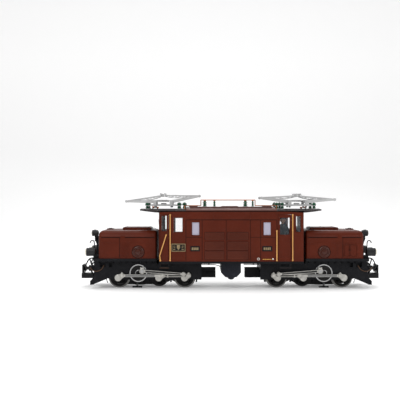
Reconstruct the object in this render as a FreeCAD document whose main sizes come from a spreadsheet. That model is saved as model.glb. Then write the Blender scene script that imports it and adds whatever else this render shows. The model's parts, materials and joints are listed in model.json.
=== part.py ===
import FreeCAD, Part
import math
import os

import Sketcher

# Model electric locomotive, 45 mm gauge: a centre body with two cabs rides on two
# articulated three-axle bogies, each with its own hood, motor, worm drive and side rods.
# Millimetres. X runs along the track, Y across it, Z up; the flanges stand on Z = 0.

SIZES = {
    # whole
    "half_body": 129.0, "half_width": 59.0, "cab_wall": 80.5,
    # bogie places, measured outwards from the middle of the locomotive
    "outer_axle": 203.0, "middle_axle": 130.0, "inner_axle": 83.5, "jack_place": 166.7,
    "pivot_place": 107.0, "hood_rear": 134.0, "hood_front": 238.0, "frame_tail": 53.0,
    "beam_back": 240.0, "beam_face": 247.0,
    # wheels and cranks
    "axle_height": 20.0, "tread_radius": 17.0, "flange_radius": 20.0, "axle_radius": 2.5,
    "wheel_back": 20.3, "flange_front": 22.0, "wheel_front": 27.0,
    "jack_height": 28.5, "jack_radius": 15.8, "crank_throw": 8.3, "pin_radius": 2.0,
    "running_gap": 0.05,
    # layers across the running gear
    "frame_inside": 36.0, "frame_outside": 40.0, "web_inside": 40.6, "web_outside": 43.6,
    "rod_inside": 44.2, "rod_outside": 46.8, "main_rod_inside": 47.4, "main_rod_outside": 50.0,
    # bogie frame
    "frame_top": 45.0, "footplate_under": 50.0, "footplate_top": 55.0, "frame_bottom": 16.5,
    "pivot_radius": 5.0, "shaft_height": 33.5, "shaft_radius": 1.5,
    # hood
    "hood_half_width": 48.0, "hood_top": 105.5, "hood_shoulder": 13.0, "hood_skin": 1.4,
    # centre body
    "deck_under": 46.5, "deck_top": 50.8, "eaves": 140.0, "body_skin": 1.6,
    "roof_crown": 147.5, "cab_roof_crown": 144.0, "roof_tip": 165.0,
    # pantographs
    "panto_left": -123.2, "panto_right": 123.6, "panto_pivot_z": 157.0, "panto_half_gap": 15.0,
    "lower_arm": 52.5, "lower_arm_y": 20.0,
}

# rest angles of the crank pins, in degrees from +X towards +Z: near side, far side
CRANKS = {-1: {-1: 30.0, 1: 120.0}, 1: {-1: 150.0, 1: 60.0}}
SIDES = {-1: "left", 1: "right"}
FACES = {-1: "near", 1: "far"}

doc = FreeCAD.newDocument("electric_locomotive")
sheet = doc.addObject("Spreadsheet::Sheet", "sizes")
for row, (alias, value) in enumerate(SIZES.items(), start=1):
    sheet.set(f"A{row}", alias)
    sheet.set(f"B{row}", repr(value))
    sheet.setAlias(f"B{row}", alias)
doc.recompute()


class Dim:
    """A length known as a number and as an expression on the size sheet."""

    def __init__(self, value, text):
        self.value = value
        self.text = text

    def __add__(self, other):
        other = dim(other)
        return Dim(self.value + other.value, f"({self.text} + {other.text})")

    def __sub__(self, other):
        other = dim(other)
        return Dim(self.value - other.value, f"({self.text} - {other.text})")

    def __mul__(self, other):
        other = dim(other)
        return Dim(self.value * other.value, f"({self.text} * {other.text})")

    def __truediv__(self, other):
        other = dim(other)
        return Dim(self.value / other.value, f"({self.text} / {other.text})")

    def __neg__(self):
        return Dim(-self.value, f"(-1 * {self.text})")

    def __radd__(self, other):
        return dim(other) + self

    def __rsub__(self, other):
        return dim(other) - self

    def __rmul__(self, other):
        return dim(other) * self

    def __lt__(self, other):
        return self.value < dim(other).value


def dim(number):
    """A plain number as a Dim; a Dim stays as it is."""
    if isinstance(number, Dim):
        return number
    return Dim(float(number), f"({float(number):.6f})")


class Sheet:
    """Reads a cell of the size sheet as a Dim: S.hood_top."""

    def __getattr__(self, alias):
        return Dim(SIZES[alias], f"sizes.{alias}")


S = Sheet()
counter = {"n": 0}


def fresh(word):
    """A document name that isn't used yet."""
    counter["n"] += 1
    return f"{word}_{counter['n']}"


def bind(obj, prop, length):
    """Set a property from a Dim, through an expression where it reads the sheet."""
    length = dim(length)
    if "sizes." in length.text:
        obj.setExpression(prop, length.text)
    elif "." not in prop:
        setattr(obj, prop, length.value)


def place(obj, x, y, z, rotation=None):
    """Put an object's own origin at a point, with an optional turn."""
    spot = [dim(x), dim(y), dim(z)]
    turn = rotation or FreeCAD.Rotation()
    obj.Placement = FreeCAD.Placement(FreeCAD.Vector(*[c.value for c in spot]), turn)
    for axis, c in zip("xyz", spot):
        bind(obj, f"Placement.Base.{axis}", c)
    return obj


def span(a, b):
    """Two ends in rising order."""
    a, b = dim(a), dim(b)
    return (b, a) if b < a else (a, b)


def box(x, y, z):
    """A box from three pairs of ends, each pair in either order."""
    (x0, x1), (y0, y1), (z0, z1) = span(*x), span(*y), span(*z)
    obj = doc.addObject("Part::Box", fresh("box"))
    bind(obj, "Length", x1 - x0)
    bind(obj, "Width", y1 - y0)
    bind(obj, "Height", z1 - z0)
    return place(obj, x0, y0, z0)


TURNS = {
    "x": FreeCAD.Rotation(FreeCAD.Vector(0, 1, 0), 90),
    "y": FreeCAD.Rotation(FreeCAD.Vector(1, 0, 0), -90),
    "z": FreeCAD.Rotation(),
}


def along(axis, start, across):
    """The point at start along an axis and at across on the two other axes."""
    a, b = across
    return {"x": (start, a, b), "y": (a, start, b), "z": (a, b, start)}[axis]


def cylinder(axis, ends, across, radius):
    """A round bar along x, y or z, between two ends."""
    start, stop = span(*ends)
    obj = doc.addObject("Part::Cylinder", fresh("cylinder"))
    bind(obj, "Radius", radius)
    bind(obj, "Height", stop - start)
    return place(obj, *along(axis, start, across), TURNS[axis])


def cone(axis, ends, across, radii):
    """A tapered bar along x, y or z; radii are at the lower and the upper end."""
    start, stop = span(*ends)
    obj = doc.addObject("Part::Cone", fresh("cone"))
    bind(obj, "Radius1", radii[0])
    bind(obj, "Radius2", radii[1])
    bind(obj, "Height", stop - start)
    return place(obj, *along(axis, start, across), TURNS[axis])


def ball(centre, radius):
    """A sphere."""
    obj = doc.addObject("Part::Sphere", fresh("ball"))
    bind(obj, "Radius", radius)
    return place(obj, *centre)


def bar(a, b, radius):
    """A round bar between two points in space."""
    a, b = [dim(c) for c in a], [dim(c) for c in b]
    run = FreeCAD.Vector(*[q.value - p.value for p, q in zip(a, b)])
    obj = doc.addObject("Part::Cylinder", fresh("bar"))
    bind(obj, "Radius", radius)
    obj.Height = run.Length
    return place(obj, *a, FreeCAD.Rotation(FreeCAD.Vector(0, 0, 1), run))


def fuse(*pieces):
    """One solid of several overlapping or touching pieces."""
    obj = doc.addObject("Part::MultiFuse", fresh("fuse"))
    obj.Shapes = list(pieces)
    obj.Refine = True
    return obj


def group(*pieces):
    """Several separate solids kept as one sub-part."""
    obj = doc.addObject("Part::Compound", fresh("group"))
    obj.Links = list(pieces)
    return obj


def cut(base, *tools):
    """A base with every tool taken out of it."""
    obj = doc.addObject("Part::Cut", fresh("cut"))
    obj.Base = base
    obj.Tool = tools[0] if len(tools) == 1 else fuse(*tools)
    obj.Refine = True
    return obj


def common(a, b):
    """What two pieces share."""
    obj = doc.addObject("Part::Common", fresh("common"))
    obj.Base = a
    obj.Tool = b
    return obj


def prism(plane, outline, ends):
    """A pad of a straight-edged outline: plane XZ runs along Y, XY along Z, YZ along X."""
    start, stop = span(*ends)
    body = doc.addObject("PartDesign::Body", fresh("prism"))
    sketch = body.newObject("Sketcher::SketchObject", fresh("outline"))
    origin_plane = [f for f in body.Origin.OriginFeatures if f.Role == plane + "_Plane"][0]
    sketch.AttachmentSupport = (origin_plane, [""])
    sketch.MapMode = "FlatFace"
    corners = [(dim(a), dim(b)) for a, b in outline]
    following = corners[1:] + corners[:1]
    for (a, b), (c, d) in zip(corners, following):
        start_point = FreeCAD.Vector(a.value, b.value, 0)
        end_point = FreeCAD.Vector(c.value, d.value, 0)
        sketch.addGeometry(Part.LineSegment(start_point, end_point), False)
    for i, (a, b) in enumerate(corners):
        sketch.addConstraint(Sketcher.Constraint("Coincident", i - 1 if i else len(corners) - 1, 2, i, 1))
        for kind, value in (("DistanceX", a), ("DistanceY", b)):
            index = sketch.addConstraint(Sketcher.Constraint(kind, -1, 1, i, 1, value.value))
            if "sizes." in value.text:
                sketch.setExpression(f"Constraints[{index}]", value.text)
    pad = body.newObject("PartDesign::Pad", fresh("pad"))
    pad.Profile = sketch
    pad.SideType = "Symmetric"
    bind(pad, "Length", stop - start)
    middle = (start + stop) / 2
    spot = {"XZ": (0, middle, 0), "XY": (0, 0, middle), "YZ": (middle, 0, 0)}[plane]
    return place(body, *spot)


def rounded(body, radius, wanted):
    """Round a body's edges that the test picks; the test reads an edge in the body's frame."""
    doc.recompute()
    base = body.Tip
    names = [f"Edge{i}" for i, edge in enumerate(base.Shape.Edges, start=1) if wanted(edge)]
    fillet = body.newObject("PartDesign::Fillet", fresh("fillet"))
    fillet.Base = (base, names)
    bind(fillet, "Radius", radius)
    return body


def upright(edge):
    """True for a straight edge along Z."""
    a, b = edge.Vertexes[0].Point, edge.Vertexes[-1].Point
    return abs(a.x - b.x) < 1e-6 and abs(a.y - b.y) < 1e-6


def lengthwise_top(edge):
    """True for a straight edge along X on the upper side of a symmetric body."""
    a, b = edge.Vertexes[0].Point, edge.Vertexes[-1].Point
    return abs(a.y - b.y) < 1e-6 and abs(a.z - b.z) < 1e-6 and a.z > 0


def block(x, y, z):
    """A box as a body, whose edges can be rounded; its frame sits at its centre height."""
    (x0, x1), (y0, y1) = span(*x), span(*y)
    return prism("XY", [(x0, y0), (x1, y0), (x1, y1), (x0, y1)], z)


parts = {}


def keep(name, obj):
    """Name a sub-part; its Label is its file's name."""
    obj.Label = name
    parts[name] = obj
    return obj


# ---------------------------------------------------------------- bogies

def crank_pin(side, face, axle_x, axle_z):
    """Where a crank pin stands at rest, for an axle on one side of one bogie."""
    angle = math.radians(CRANKS[side][face])
    across, up = round(math.cos(angle), 6), round(math.sin(angle), 6)
    return axle_x + S.crank_throw * across, axle_z + S.crank_throw * up


def side_frame(side, face):
    """One outside frame plate, with its end plate and the guard that drops to the rail."""
    outline = [(side * u, z) for u, z in (
        (S.frame_tail, S.frame_top), (S.frame_tail, S.frame_bottom), (214.0, S.frame_bottom),
        (225.5, 19.8), (246.5, 13.0), (247.0, 7.5), (254.0, 7.0), (254.0, 14.0), (S.beam_face, 21.0),
        (S.beam_face, S.footplate_under), (S.hood_rear, S.footplate_under), (S.hood_rear, S.frame_top))]
    inside, outside = face * S.frame_inside, face * S.frame_outside
    plate = prism("XZ", outline, (inside, outside))
    past = (face * (S.frame_inside - 1), face * (S.frame_outside + 1))
    holes = [box((side * a, side * b), past, (39.0, 47.0)) for a, b in ((214, 220), (226, 236))]
    for axle in (S.outer_axle, S.middle_axle, S.inner_axle):
        holes.append(cylinder("y", past, (side * axle, S.axle_height), S.axle_radius + S.running_gap))
    jack = (side * S.jack_place, S.jack_height)
    holes.append(cylinder("y", past, jack, S.axle_radius + S.running_gap))
    return cut(plate, *holes)


TONGUE_HALF = 9.0


def bogie_frame(side):
    """Two side plates joined by beams and the footplate, with the pivot hole and buffer sleeve."""
    half = S.frame_inside
    pieces = [side_frame(side, face) for face in FACES]
    beam = box((side * S.beam_back, side * S.beam_face), (-half, half), (22.0, S.footplate_under))
    tail = box((side * S.frame_tail, side * (S.frame_tail + 4)), (-half, half), (28.0, S.frame_top))
    transom = box((side * 97.0, side * 117.0), (-half, half), (41.0, S.frame_top))
    tongue = box((side * 27.0, side * (S.frame_tail + 4)), (-TONGUE_HALF, TONGUE_HALF), (17.0, 35.0))
    slot = box((side * 26.0, side * 46.0), (side * (TONGUE_HALF - 1.5), side * (TONGUE_HALF + 1)), (27.0, 29.0))
    rib = prism("XZ", [(side * 34.0, 17.0), (side * 36.4, 17.0), (side * (S.frame_tail + 1), 34.0),
                       (side * (S.frame_tail - 1.4), 34.0)],
                (side * -(TONGUE_HALF - 1), side * -(TONGUE_HALF + 1)))
    gusset = box((side * 122.0, side * 130.5), (-half, half), (41.0, S.frame_top))
    footplate = block((side * S.hood_rear, side * S.beam_face), (-50.0, 50.0),
                      (S.footplate_under, S.footplate_top))
    sleeve = cylinder("x", (side * S.beam_face, side * 262.0), (0, 33.5), 5.0)
    hook_seat = box((side * 236.0, side * S.beam_face), (-8.0, 8.0), (20.0, 22.0))
    hook_pin = cylinder("z", (15.6, 20.0), (side * 242.0, 0), 1.5)
    body = fuse(*pieces, beam, tail, transom, cut(tongue, slot), rib, gusset, footplate, sleeve, hook_seat,
                hook_pin)
    pivot_hole = cylinder("z", (38.0, 48.0), (side * S.pivot_place, 0), S.pivot_radius + S.running_gap)
    stem_hole = cylinder("x", (side * 236.0, side * 264.0), (0, 33.5), 3.0 + S.running_gap)
    return keep(f"{SIDES[side]}_bogie_frame", cut(body, pivot_hole, stem_hole))


def hood(side):
    """A thin casing with rounded shoulders, a raised hatch and a small lid on top."""
    half = S.hood_half_width

    def casing(inset, bottom):
        """The casing's outer form, or its hollow when it is inset from the outer form."""
        top = S.hood_top - inset
        rear, front = side * (S.hood_rear + inset), side * (S.hood_front - inset)
        plan = [(rear, -half + inset), (front, -half + inset), (front, half - inset), (rear, half - inset)]
        outer = prism("XY", plan, (bottom, top))
        rounded(outer, S.hood_shoulder - inset, lengthwise_top)
        rounded(outer, 6.0 - inset, lambda e: upright(e) and abs(e.Vertexes[0].Point.x - front.value) < 0.01)
        rounded(outer, 4.5 - inset, lambda e: upright(e) and abs(e.Vertexes[0].Point.x - rear.value) < 0.01)
        brow = prism("XZ", [(rear, bottom), (front, bottom), (front, top), (rear, top)], (-half, half))
        rounded(brow, 10.0 - inset, lambda e: all(abs(v.Point.x - front.value) < 0.01 and
                                                  abs(v.Point.z - top.value) < 0.01 for v in e.Vertexes))
        return common(outer, brow)

    shell = cut(casing(dim(0), S.footplate_top), casing(S.hood_skin, S.footplate_top - 6))
    hatch = block((side * 145.0, side * 197.0), (-24.0, 24.0), (S.hood_top - 1, 109.6))
    rounded(hatch, 2.0, upright)
    lid = block((side * 216.0, side * 228.0), (-9.0, 9.0), (S.hood_top - 1, 107.2))
    rounded(lid, 2.0, upright)
    return keep(f"{SIDES[side]}_hood", fuse(shell, hatch, lid))


def gearbox(side):
    """The drive's case: worm wheels at both ends, the motor's seat in the middle, a shaft tunnel."""
    outline = [(side * u, z) for u, z in (
        (216.0, 40.5), (216.0, 8.0), (194.0, 8.0), (192.0, 5.5), (124.0, 5.5),
        (108.0, 13.0), (98.0, 8.5), (71.0, 8.5), (71.0, 40.5))]
    case = prism("XZ", outline, (-18.5, 18.5))
    saddle = box((side * 131.0, side * 165.0), (-15.5, 15.5), (38.0, S.footplate_under))
    lugs = [box((side * 166.0, side * 174.0), (face * 18.0, face * 26.0), (9.0, 13.0)) for face in FACES]
    rooms = [box((side * a, side * b), (-15.5, 15.5), (10.3, 38.5)) for a, b in ((191.0, 213.6), (73.4, 93.6))]
    rooms.append(box((side * 133.0, side * 163.0), (-12.5, 12.5), (21.5, 47.0)))
    rooms.append(box((side * 93.0, side * 192.0), (-4.0, 4.0), (30.6, 37.4)))
    for axle in (S.outer_axle, S.middle_axle, S.inner_axle):
        rooms.append(cylinder("y", (-20.0, 20.0), (side * axle, S.axle_height), S.axle_radius + 0.5))
    rooms.append(cylinder("y", (-20.0, 20.0), (side * S.jack_place, S.jack_height), S.axle_radius + 0.5))
    for face in FACES:
        rooms.append(cylinder("z", (8.0, 14.0), (side * 170.0, face * 23.7), 1.3))
    return keep(f"{SIDES[side]}_gearbox", cut(fuse(case, saddle, *lugs), *rooms))


def motor(side):
    """The motor's can with its two bearings, and the shaft with armature and two worms."""
    across = (0, S.shaft_height)
    can = cylinder("x", (side * 134.0, side * 162.0), across, 12.0)
    inside = cylinder("x", (side * 136.0, side * 160.0), across, 10.6)
    bearing = cylinder("x", (side * 133.0, side * 163.0), across, S.shaft_radius + S.running_gap)
    keep(f"{SIDES[side]}_motor_can", cut(can, inside, bearing))
    shaft = cylinder("x", (side * 76.0, side * 211.0), across, S.shaft_radius)
    armature = cylinder("x", (side * 140.0, side * 156.0), across, 9.0)
    worms = [cylinder("x", (side * (axle - 5), side * (axle + 5)), across, 3.9)
             for axle in (S.outer_axle, S.inner_axle)]
    keep(f"{SIDES[side]}_motor_rotor", fuse(shaft, armature, *worms))


def wheel(side, face, axle, flanged):
    """One spoked wheel: a rim with a flange, five spokes and a boss."""
    across = (side * axle, S.axle_height)
    back, front = face * S.wheel_back, face * S.wheel_front
    rim = cylinder("y", (back, front), across, S.tread_radius)
    rim = cut(rim, cylinder("y", (face * (S.wheel_back - 1), face * (S.wheel_front + 1)), across, 13.5))
    pieces = [rim, cylinder("y", (back, front), across, 5.0)]
    spokes = 5
    for k in range(spokes):
        angle = math.radians(90 + k * 360 / spokes)
        tip = (across[0] + 14.0 * math.cos(angle), face * 23.6, across[1] + 14.0 * math.sin(angle))
        pieces.append(bar((across[0], face * 23.6, across[1]), tip, 1.7))
    if flanged:
        flange = cylinder("y", (back, face * S.flange_front), across, S.flange_radius)
        pieces.append(cut(flange, cylinder("y", (face * 19.0, face * 24.0), across, 13.5)))
    return pieces


def crank_web(side, face, axle):
    """An outside crank: a boss on the axle, a web and the pin for the rod."""
    x, z = side * axle, S.axle_height
    pin_x, pin_z = crank_pin(side, face, x, z)
    layer = (face * S.web_inside, face * S.web_outside)
    angle = math.radians(CRANKS[side][face])
    web = doc.addObject("Part::Box", fresh("web"))
    bind(web, "Length", S.crank_throw)
    web.Width = 9.0
    bind(web, "Height", S.web_outside - S.web_inside)
    turn = FreeCAD.Rotation(FreeCAD.Vector(math.cos(angle), 0, math.sin(angle)),
                            FreeCAD.Vector(-math.sin(angle), 0, math.cos(angle)),
                            FreeCAD.Vector(0, -1, 0), "XYZ")
    low = face * S.web_outside if face > 0 else face * S.web_inside
    place(web, x + 4.5 * math.sin(angle), low, z - 4.5 * math.cos(angle), turn)
    return [cylinder("y", layer, (x, z), 6.2), cylinder("y", layer, (pin_x, pin_z), 4.5), web,
            cylinder("y", (face * S.web_outside, face * (S.rod_outside + 0.2)), (pin_x, pin_z), S.pin_radius),
            cylinder("y", (face * (S.rod_outside + 0.2), face * 48.3), (pin_x, pin_z), 2.9)]


def wheelset(side, word, axle, flanged, geared):
    """Two wheels on an axle through the frames, with cranks a quarter turn apart."""
    pieces = [cylinder("y", (-S.web_outside, S.web_outside), (side * axle, S.axle_height), S.axle_radius)]
    for face in FACES:
        pieces += wheel(side, face, axle, flanged)
        pieces += crank_web(side, face, axle)
    if geared:
        pieces.append(cylinder("y", (-4.0, 4.0), (side * axle, S.axle_height), 9.2))
    return keep(f"{SIDES[side]}_wheelset_{word}", fuse(*pieces))


def jackshaft(side):
    """The jackshaft: a disc with a rim at each end, and a pin on each disc for the main rod."""
    x, z = side * S.jack_place, S.jack_height
    pieces = [cylinder("y", (-S.web_inside, S.web_inside), (x, z), S.axle_radius)]
    for face in FACES:
        pin_x, pin_z = crank_pin(side, face, x, z)
        disc = cylinder("y", (face * S.web_inside, face * S.web_outside), (x, z), S.jack_radius)
        dish_ends = (face * (S.web_outside - 0.6), face * (S.web_outside + 1))
        dish = cylinder("y", dish_ends, (x, z), S.jack_radius - 1.8)
        hub = cylinder("y", (face * (S.web_outside - 1), face * (S.web_outside + 0.3)), (x, z), 5.5)
        pin = cylinder("y", (face * (S.web_outside - 1), face * (S.main_rod_outside + 0.2)), (pin_x, pin_z),
                       S.pin_radius)
        head = cylinder("y", (face * (S.main_rod_outside + 0.2), face * 51.5), (pin_x, pin_z), 2.9)
        pieces += [cut(disc, dish), hub, pin, head]
    return keep(f"{SIDES[side]}_jackshaft", fuse(*pieces))


def rod_bar(a, b, layer, heights):
    """A flat bar between two pins, its half heights given at each pin."""
    (ax, az), (bx, bz) = a, b
    if bx < ax:
        (ax, az), (bx, bz), heights = (bx, bz), (ax, az), heights[::-1]
    outline = [(ax, az - heights[0]), (bx, bz - heights[1]), (bx, bz + heights[1]), (ax, az + heights[0])]
    return prism("XZ", outline, layer)


def rods(side, face):
    """The coupling rod on three cranks, and the main rod from the jackshaft to a lug on it."""
    pins = [crank_pin(side, face, side * axle, S.axle_height)
            for axle in (S.outer_axle, S.middle_axle, S.inner_axle)]
    layer = (face * S.rod_inside, face * S.rod_outside)
    front_layer = (face * S.main_rod_inside, face * S.main_rod_outside)
    jack_pin = crank_pin(side, face, side * S.jack_place, S.jack_height)
    lug = (pins[2][0] + side * 9.2, pins[2][1] + 3.05)
    knuckle = (pins[1][0] - side * 9.0, pins[1][1])
    pieces = [rod_bar(pins[0], pins[1], layer, (2.3, 2.3)), rod_bar(pins[1], pins[2], layer, (2.3, 2.3))]
    for x, z in pins:
        pieces.append(cylinder("y", layer, (x, z), 4.3))
        pieces.append(box((x - 1.7, x + 1.7), layer, (z + 3.5, z + 5.3)))
    pieces.append(cylinder("y", layer, knuckle, 3.2))
    pieces.append(cylinder("y", layer, lug, 3.9))
    pieces.append(cylinder("y", (face * S.rod_inside, face * (S.main_rod_outside + 1.2)), lug, 2.0))
    pieces.append(rod_bar(jack_pin, lug, front_layer, (2.7, 2.0)))
    pieces.append(cylinder("y", front_layer, jack_pin, 5.0))
    pieces.append(box((jack_pin[0] - 2.2, jack_pin[0] + 2.2), front_layer, (jack_pin[1] + 4.3, jack_pin[1] + 6.4)))
    pieces.append(cylinder("y", front_layer, lug, 3.9))
    hole_radius = S.pin_radius + S.running_gap
    holes = [cylinder("y", (face * 43.9, face * 47.1), pin, hole_radius) for pin in pins]
    holes.append(cylinder("y", (face * 47.2, face * 50.3), jack_pin, hole_radius))
    return keep(f"{SIDES[side]}_rods_{FACES[face]}", cut(fuse(*pieces), *holes))


LAMPS = ((0.0, 98.5, 5.6, 245.5, 256.0), (-35.0, 66.0, 7.4, 245.5, 261.0), (35.0, 66.0, 7.4, 245.5, 261.0))


def lamps(side):
    """Three headlamps: one high on the hood's front and two on the footplate's end."""
    housings, lenses = [], []
    for y, z, radius, back, front in LAMPS:
        can = cylinder("x", (side * back, side * front), (y, z), radius)
        bowl = cylinder("x", (side * (front - 3.0), side * (front + 1)), (y, z), radius - 1.3)
        if z > S.hood_top.value - 20:
            foot = box((side * S.hood_front, side * (back + 3)), (y - 3, y + 3), (z - 12.0, z - 9.0))
            neck = box((side * (back + 0.5), side * (back + 3)), (y - 2, y + 2), (z - 12.0, z))
        else:
            foot = box((side * 241.0, side * S.beam_face), (y - 4, y + 4), (S.footplate_top, 57.0))
            neck = box((side * 243.5, side * (back + 3)), (y - 2, y + 2), (56.0, z))
        housings.append(cut(fuse(can, foot, neck), bowl))
        lens = cylinder("x", (side * (front - 3.0), side * (front - 0.7)), (y, z), radius - 1.3)
        lenses.append(lens)
    keep(f"{SIDES[side]}_lamp_housings", group(*housings))
    keep(f"{SIDES[side]}_lamp_lenses", group(*lenses))


def coupler(side):
    """A coupler head with a slot for the next vehicle's hook, on a shank that swings under the beam."""
    shank = box((side * 238.5, side * 252.0), (-5.0, 5.0), (15.6, 19.6))
    head = block((side * 250.0, side * 275.0), (-8.5, 8.5), (15.6, 24.6))
    rounded(head, 2.0, upright)
    slot = box((side * 262.0, side * 271.0), (-5.5, 5.5), (14.0, 26.0))
    swing_hole = cylinder("z", (14.0, 22.0), (side * 242.0, 0), 1.5 + S.running_gap)
    return keep(f"{SIDES[side]}_coupler", cut(fuse(shank, head), slot, swing_hole))


def buffer(side):
    """The middle buffer: a round-cornered plate on a stem that slides in the beam's sleeve."""
    plate = block((side * 269.5, side * 273.0), (-14.0, 14.0), (25.6, 40.8))
    rounded(plate, 1.2, upright)
    stem = cylinder("x", (side * 238.0, side * 270.0), (0, 33.5), 3.0)
    collar = cylinder("x", (side * 266.5, side * 270.0), (0, 33.5), 5.0)
    return keep(f"{SIDES[side]}_buffer", fuse(plate, stem, collar))


def pickup_shoes(side):
    """Two sliding rail contacts on posts that rise in the gearbox's lugs, joined under the case."""
    pieces = []
    for face in FACES:
        shoe = box((side * 161.0, side * 179.0), (face * 21.5, face * 26.0), (0.4, 3.0))
        post = cylinder("z", (2.5, 17.5), (side * 170.0, face * 23.7), 1.25)
        head = cylinder("z", (15.9, 17.5), (side * 170.0, face * 23.7), 2.2)
        pieces.append(fuse(shoe, post, head))
    return keep(f"{SIDES[side]}_pickup_shoes", group(*pieces))


for bogie_side in SIDES:
    bogie_frame(bogie_side)
    hood(bogie_side)
    gearbox(bogie_side)
    motor(bogie_side)
    wheelset(bogie_side, "outer", S.outer_axle, True, True)
    wheelset(bogie_side, "middle", S.middle_axle, False, False)
    wheelset(bogie_side, "inner", S.inner_axle, True, True)
    jackshaft(bogie_side)
    rods(bogie_side, -1)
    rods(bogie_side, 1)
    lamps(bogie_side)
    coupler(bogie_side)
    buffer(bogie_side)
    pickup_shoes(bogie_side)


# ---------------------------------------------------------------- centre body

# the two long sides are alike after half a turn, so x changes sign with the face:
# x on the near side, z of each opening
FROSTED = ((-69.85, -57.15), (57.15, 69.85))
FROSTED_Z = (97.75, 120.25)
CAB_WINDOWS = (((-102.2, -87.0), (103.0, 128.0)), ((114.6, 123.2), (103.6, 131.0)))
END_WINDOW = ((20.0, 46.0), (110.0, 131.0))
DOORS = {"narrow": ((-126.5, -111.6), (-124.0, -115.0), (105.0, 132.0)),
         "wide": ((83.6, 105.9), (86.2, 103.4), (98.5, 128.4))}
DOOR_Z = (51.2, 133.6)
DOOR_GAP = 0.4
DOOR_OUTER, DOOR_INNER = 58.6, 57.4
HINGE_RADIUS = 0.7


def turned(face, ends):
    """A near-side stretch of x on either face."""
    return tuple(-face * x for x in ends)


def window_list(face):
    """Every fixed window opening of one long side: its x ends and its z ends."""
    fixed = [(turned(face, xs), FROSTED_Z) for xs in FROSTED]
    return fixed + [(turned(face, xs), zs) for xs, zs in CAB_WINDOWS]


def body_shell():
    """The long box of the body: four walls, two partitions, and every opening in them."""
    outer = block((-S.half_body, S.half_body), (-S.half_width, S.half_width), (S.deck_top, S.eaves))
    rounded(outer, 4.0, upright)
    skin = S.body_skin
    across = (-S.half_width + skin, S.half_width - skin)
    lengths = [(-S.half_body + skin, -S.cab_wall - skin), (-S.cab_wall, S.cab_wall),
               (S.cab_wall + skin, S.half_body - skin)]
    rooms = [box(length, across, (49.0, 142.0)) for length in lengths]
    openings = []
    for face in FACES:
        wall = (face * (S.half_width - 3), face * (S.half_width + 1))
        openings += [box(xs, wall, zs) for xs, zs in window_list(face)]
        for xs, _, _ in DOORS.values():
            low, high = sorted(turned(face, xs))
            openings.append(box((low - DOOR_GAP, high + DOOR_GAP), wall, (49.0, DOOR_Z[1] + DOOR_GAP)))
        end = (face * (S.half_body - 3), face * (S.half_body + 1))
        (y0, y1), zs = END_WINDOW
        openings += [box(end, (sign * y0, sign * y1), zs) for sign in (-1, 1)]
    return keep("body_shell", cut(outer, *rooms, *openings))


def glazing():
    """The fixed panes, each filling its opening from the inside face outwards."""
    panes = []
    inside = S.half_width - S.body_skin
    for face in FACES:
        for xs, zs in window_list(face):
            panes.append(box(xs, (face * inside, face * (inside + 0.9)), zs))
        end = S.half_body - S.body_skin
        (y0, y1), zs = END_WINDOW
        panes += [box((face * end, face * (end + 0.9)), (sign * y0, sign * y1), zs) for sign in (-1, 1)]
    return keep("glazing", group(*panes))


def cab_door(face, kind):
    """A cab door with its window opening; it turns inwards on its hinge edge."""
    xs, window_xs, window_zs = DOORS[kind]
    leaf = box(turned(face, xs), (face * DOOR_INNER, face * DOOR_OUTER), DOOR_Z)
    window = box(turned(face, window_xs), (face * (DOOR_INNER - 1), face * (DOOR_OUTER + 1)), window_zs)
    knob_x = -face * (xs[0] + 2.2 if kind == "narrow" else xs[1] - 2.2)
    knob = cylinder("y", (face * DOOR_INNER, face * (DOOR_OUTER + 1.6)), (knob_x, 88.0), 0.8)
    hinge_x = -face * (xs[1] - HINGE_RADIUS if kind == "narrow" else xs[0] + HINGE_RADIUS)
    hinge = cylinder("z", DOOR_Z, (hinge_x, face * DOOR_INNER), HINGE_RADIUS)
    side = 1 if -face * xs[0] > 0 else -1
    return keep(f"{SIDES[side]}_{kind}_door", fuse(cut(leaf, window), knob, hinge))


def underframe():
    """The deck with both pivot pins and a step below every door."""
    across = (-S.half_width + 1, S.half_width - 1)
    pieces = [block((-S.half_body, S.half_body), across, (S.deck_under, S.deck_top))]
    for side in SIDES:
        pieces.append(cylinder("z", (41.2, S.deck_under + 1), (side * S.pivot_place, 0), S.pivot_radius))
    for face in FACES:
        for xs in ((-128.0, -111.0), (86.0, 104.6)):
            low, high = sorted(turned(face, xs))
            across = (face * 54.0, face * 58.0)
            pieces.append(box((low, high), across, (40.0, 41.4)))
            pieces += [box((x, x + 1.4), across, (40.0, S.deck_under + 1)) for x in (low, high - 1.4)]
    return keep("underframe", fuse(*pieces))


def arch(half_length, crown, radius):
    """The upper side of a long shallow roof: a big cylinder lying along X."""
    return cylinder("x", (-half_length, half_length), (0, crown - radius), radius)


def roofs():
    """The middle roof's shallow arch, and two cab roofs that taper out over the hoods."""
    half = 59.5
    slab = box((-S.cab_wall, S.cab_wall), (-half, half), (S.eaves, S.roof_crown + 1))
    keep("main_roof", common(slab, arch(S.cab_wall, S.roof_crown, 395.0)))
    both = []
    for side in SIDES:
        side_view = [(S.cab_wall, S.eaves), (S.half_body, S.eaves), (S.half_body, 137.5), (137.0, 138.0),
                     (S.roof_tip, 140.8), (S.roof_tip, 146.0), (S.cab_wall, 146.0)]
        profile = prism("XZ", [(side * u, z) for u, z in side_view], (-half, half))
        plan = prism("XY", [(side * S.cab_wall, -half), (side * 134.0, -half), (side * 150.0, -50.0),
                            (side * S.roof_tip, -30.0), (side * S.roof_tip, 30.0), (side * 150.0, 50.0),
                            (side * 134.0, half), (side * S.cab_wall, half)], (136.0, 147.0))
        both.append(common(common(profile, plan), arch(S.roof_tip + 1, S.cab_roof_crown, 480.0)))
    keep("cab_roofs", group(*both))


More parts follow.
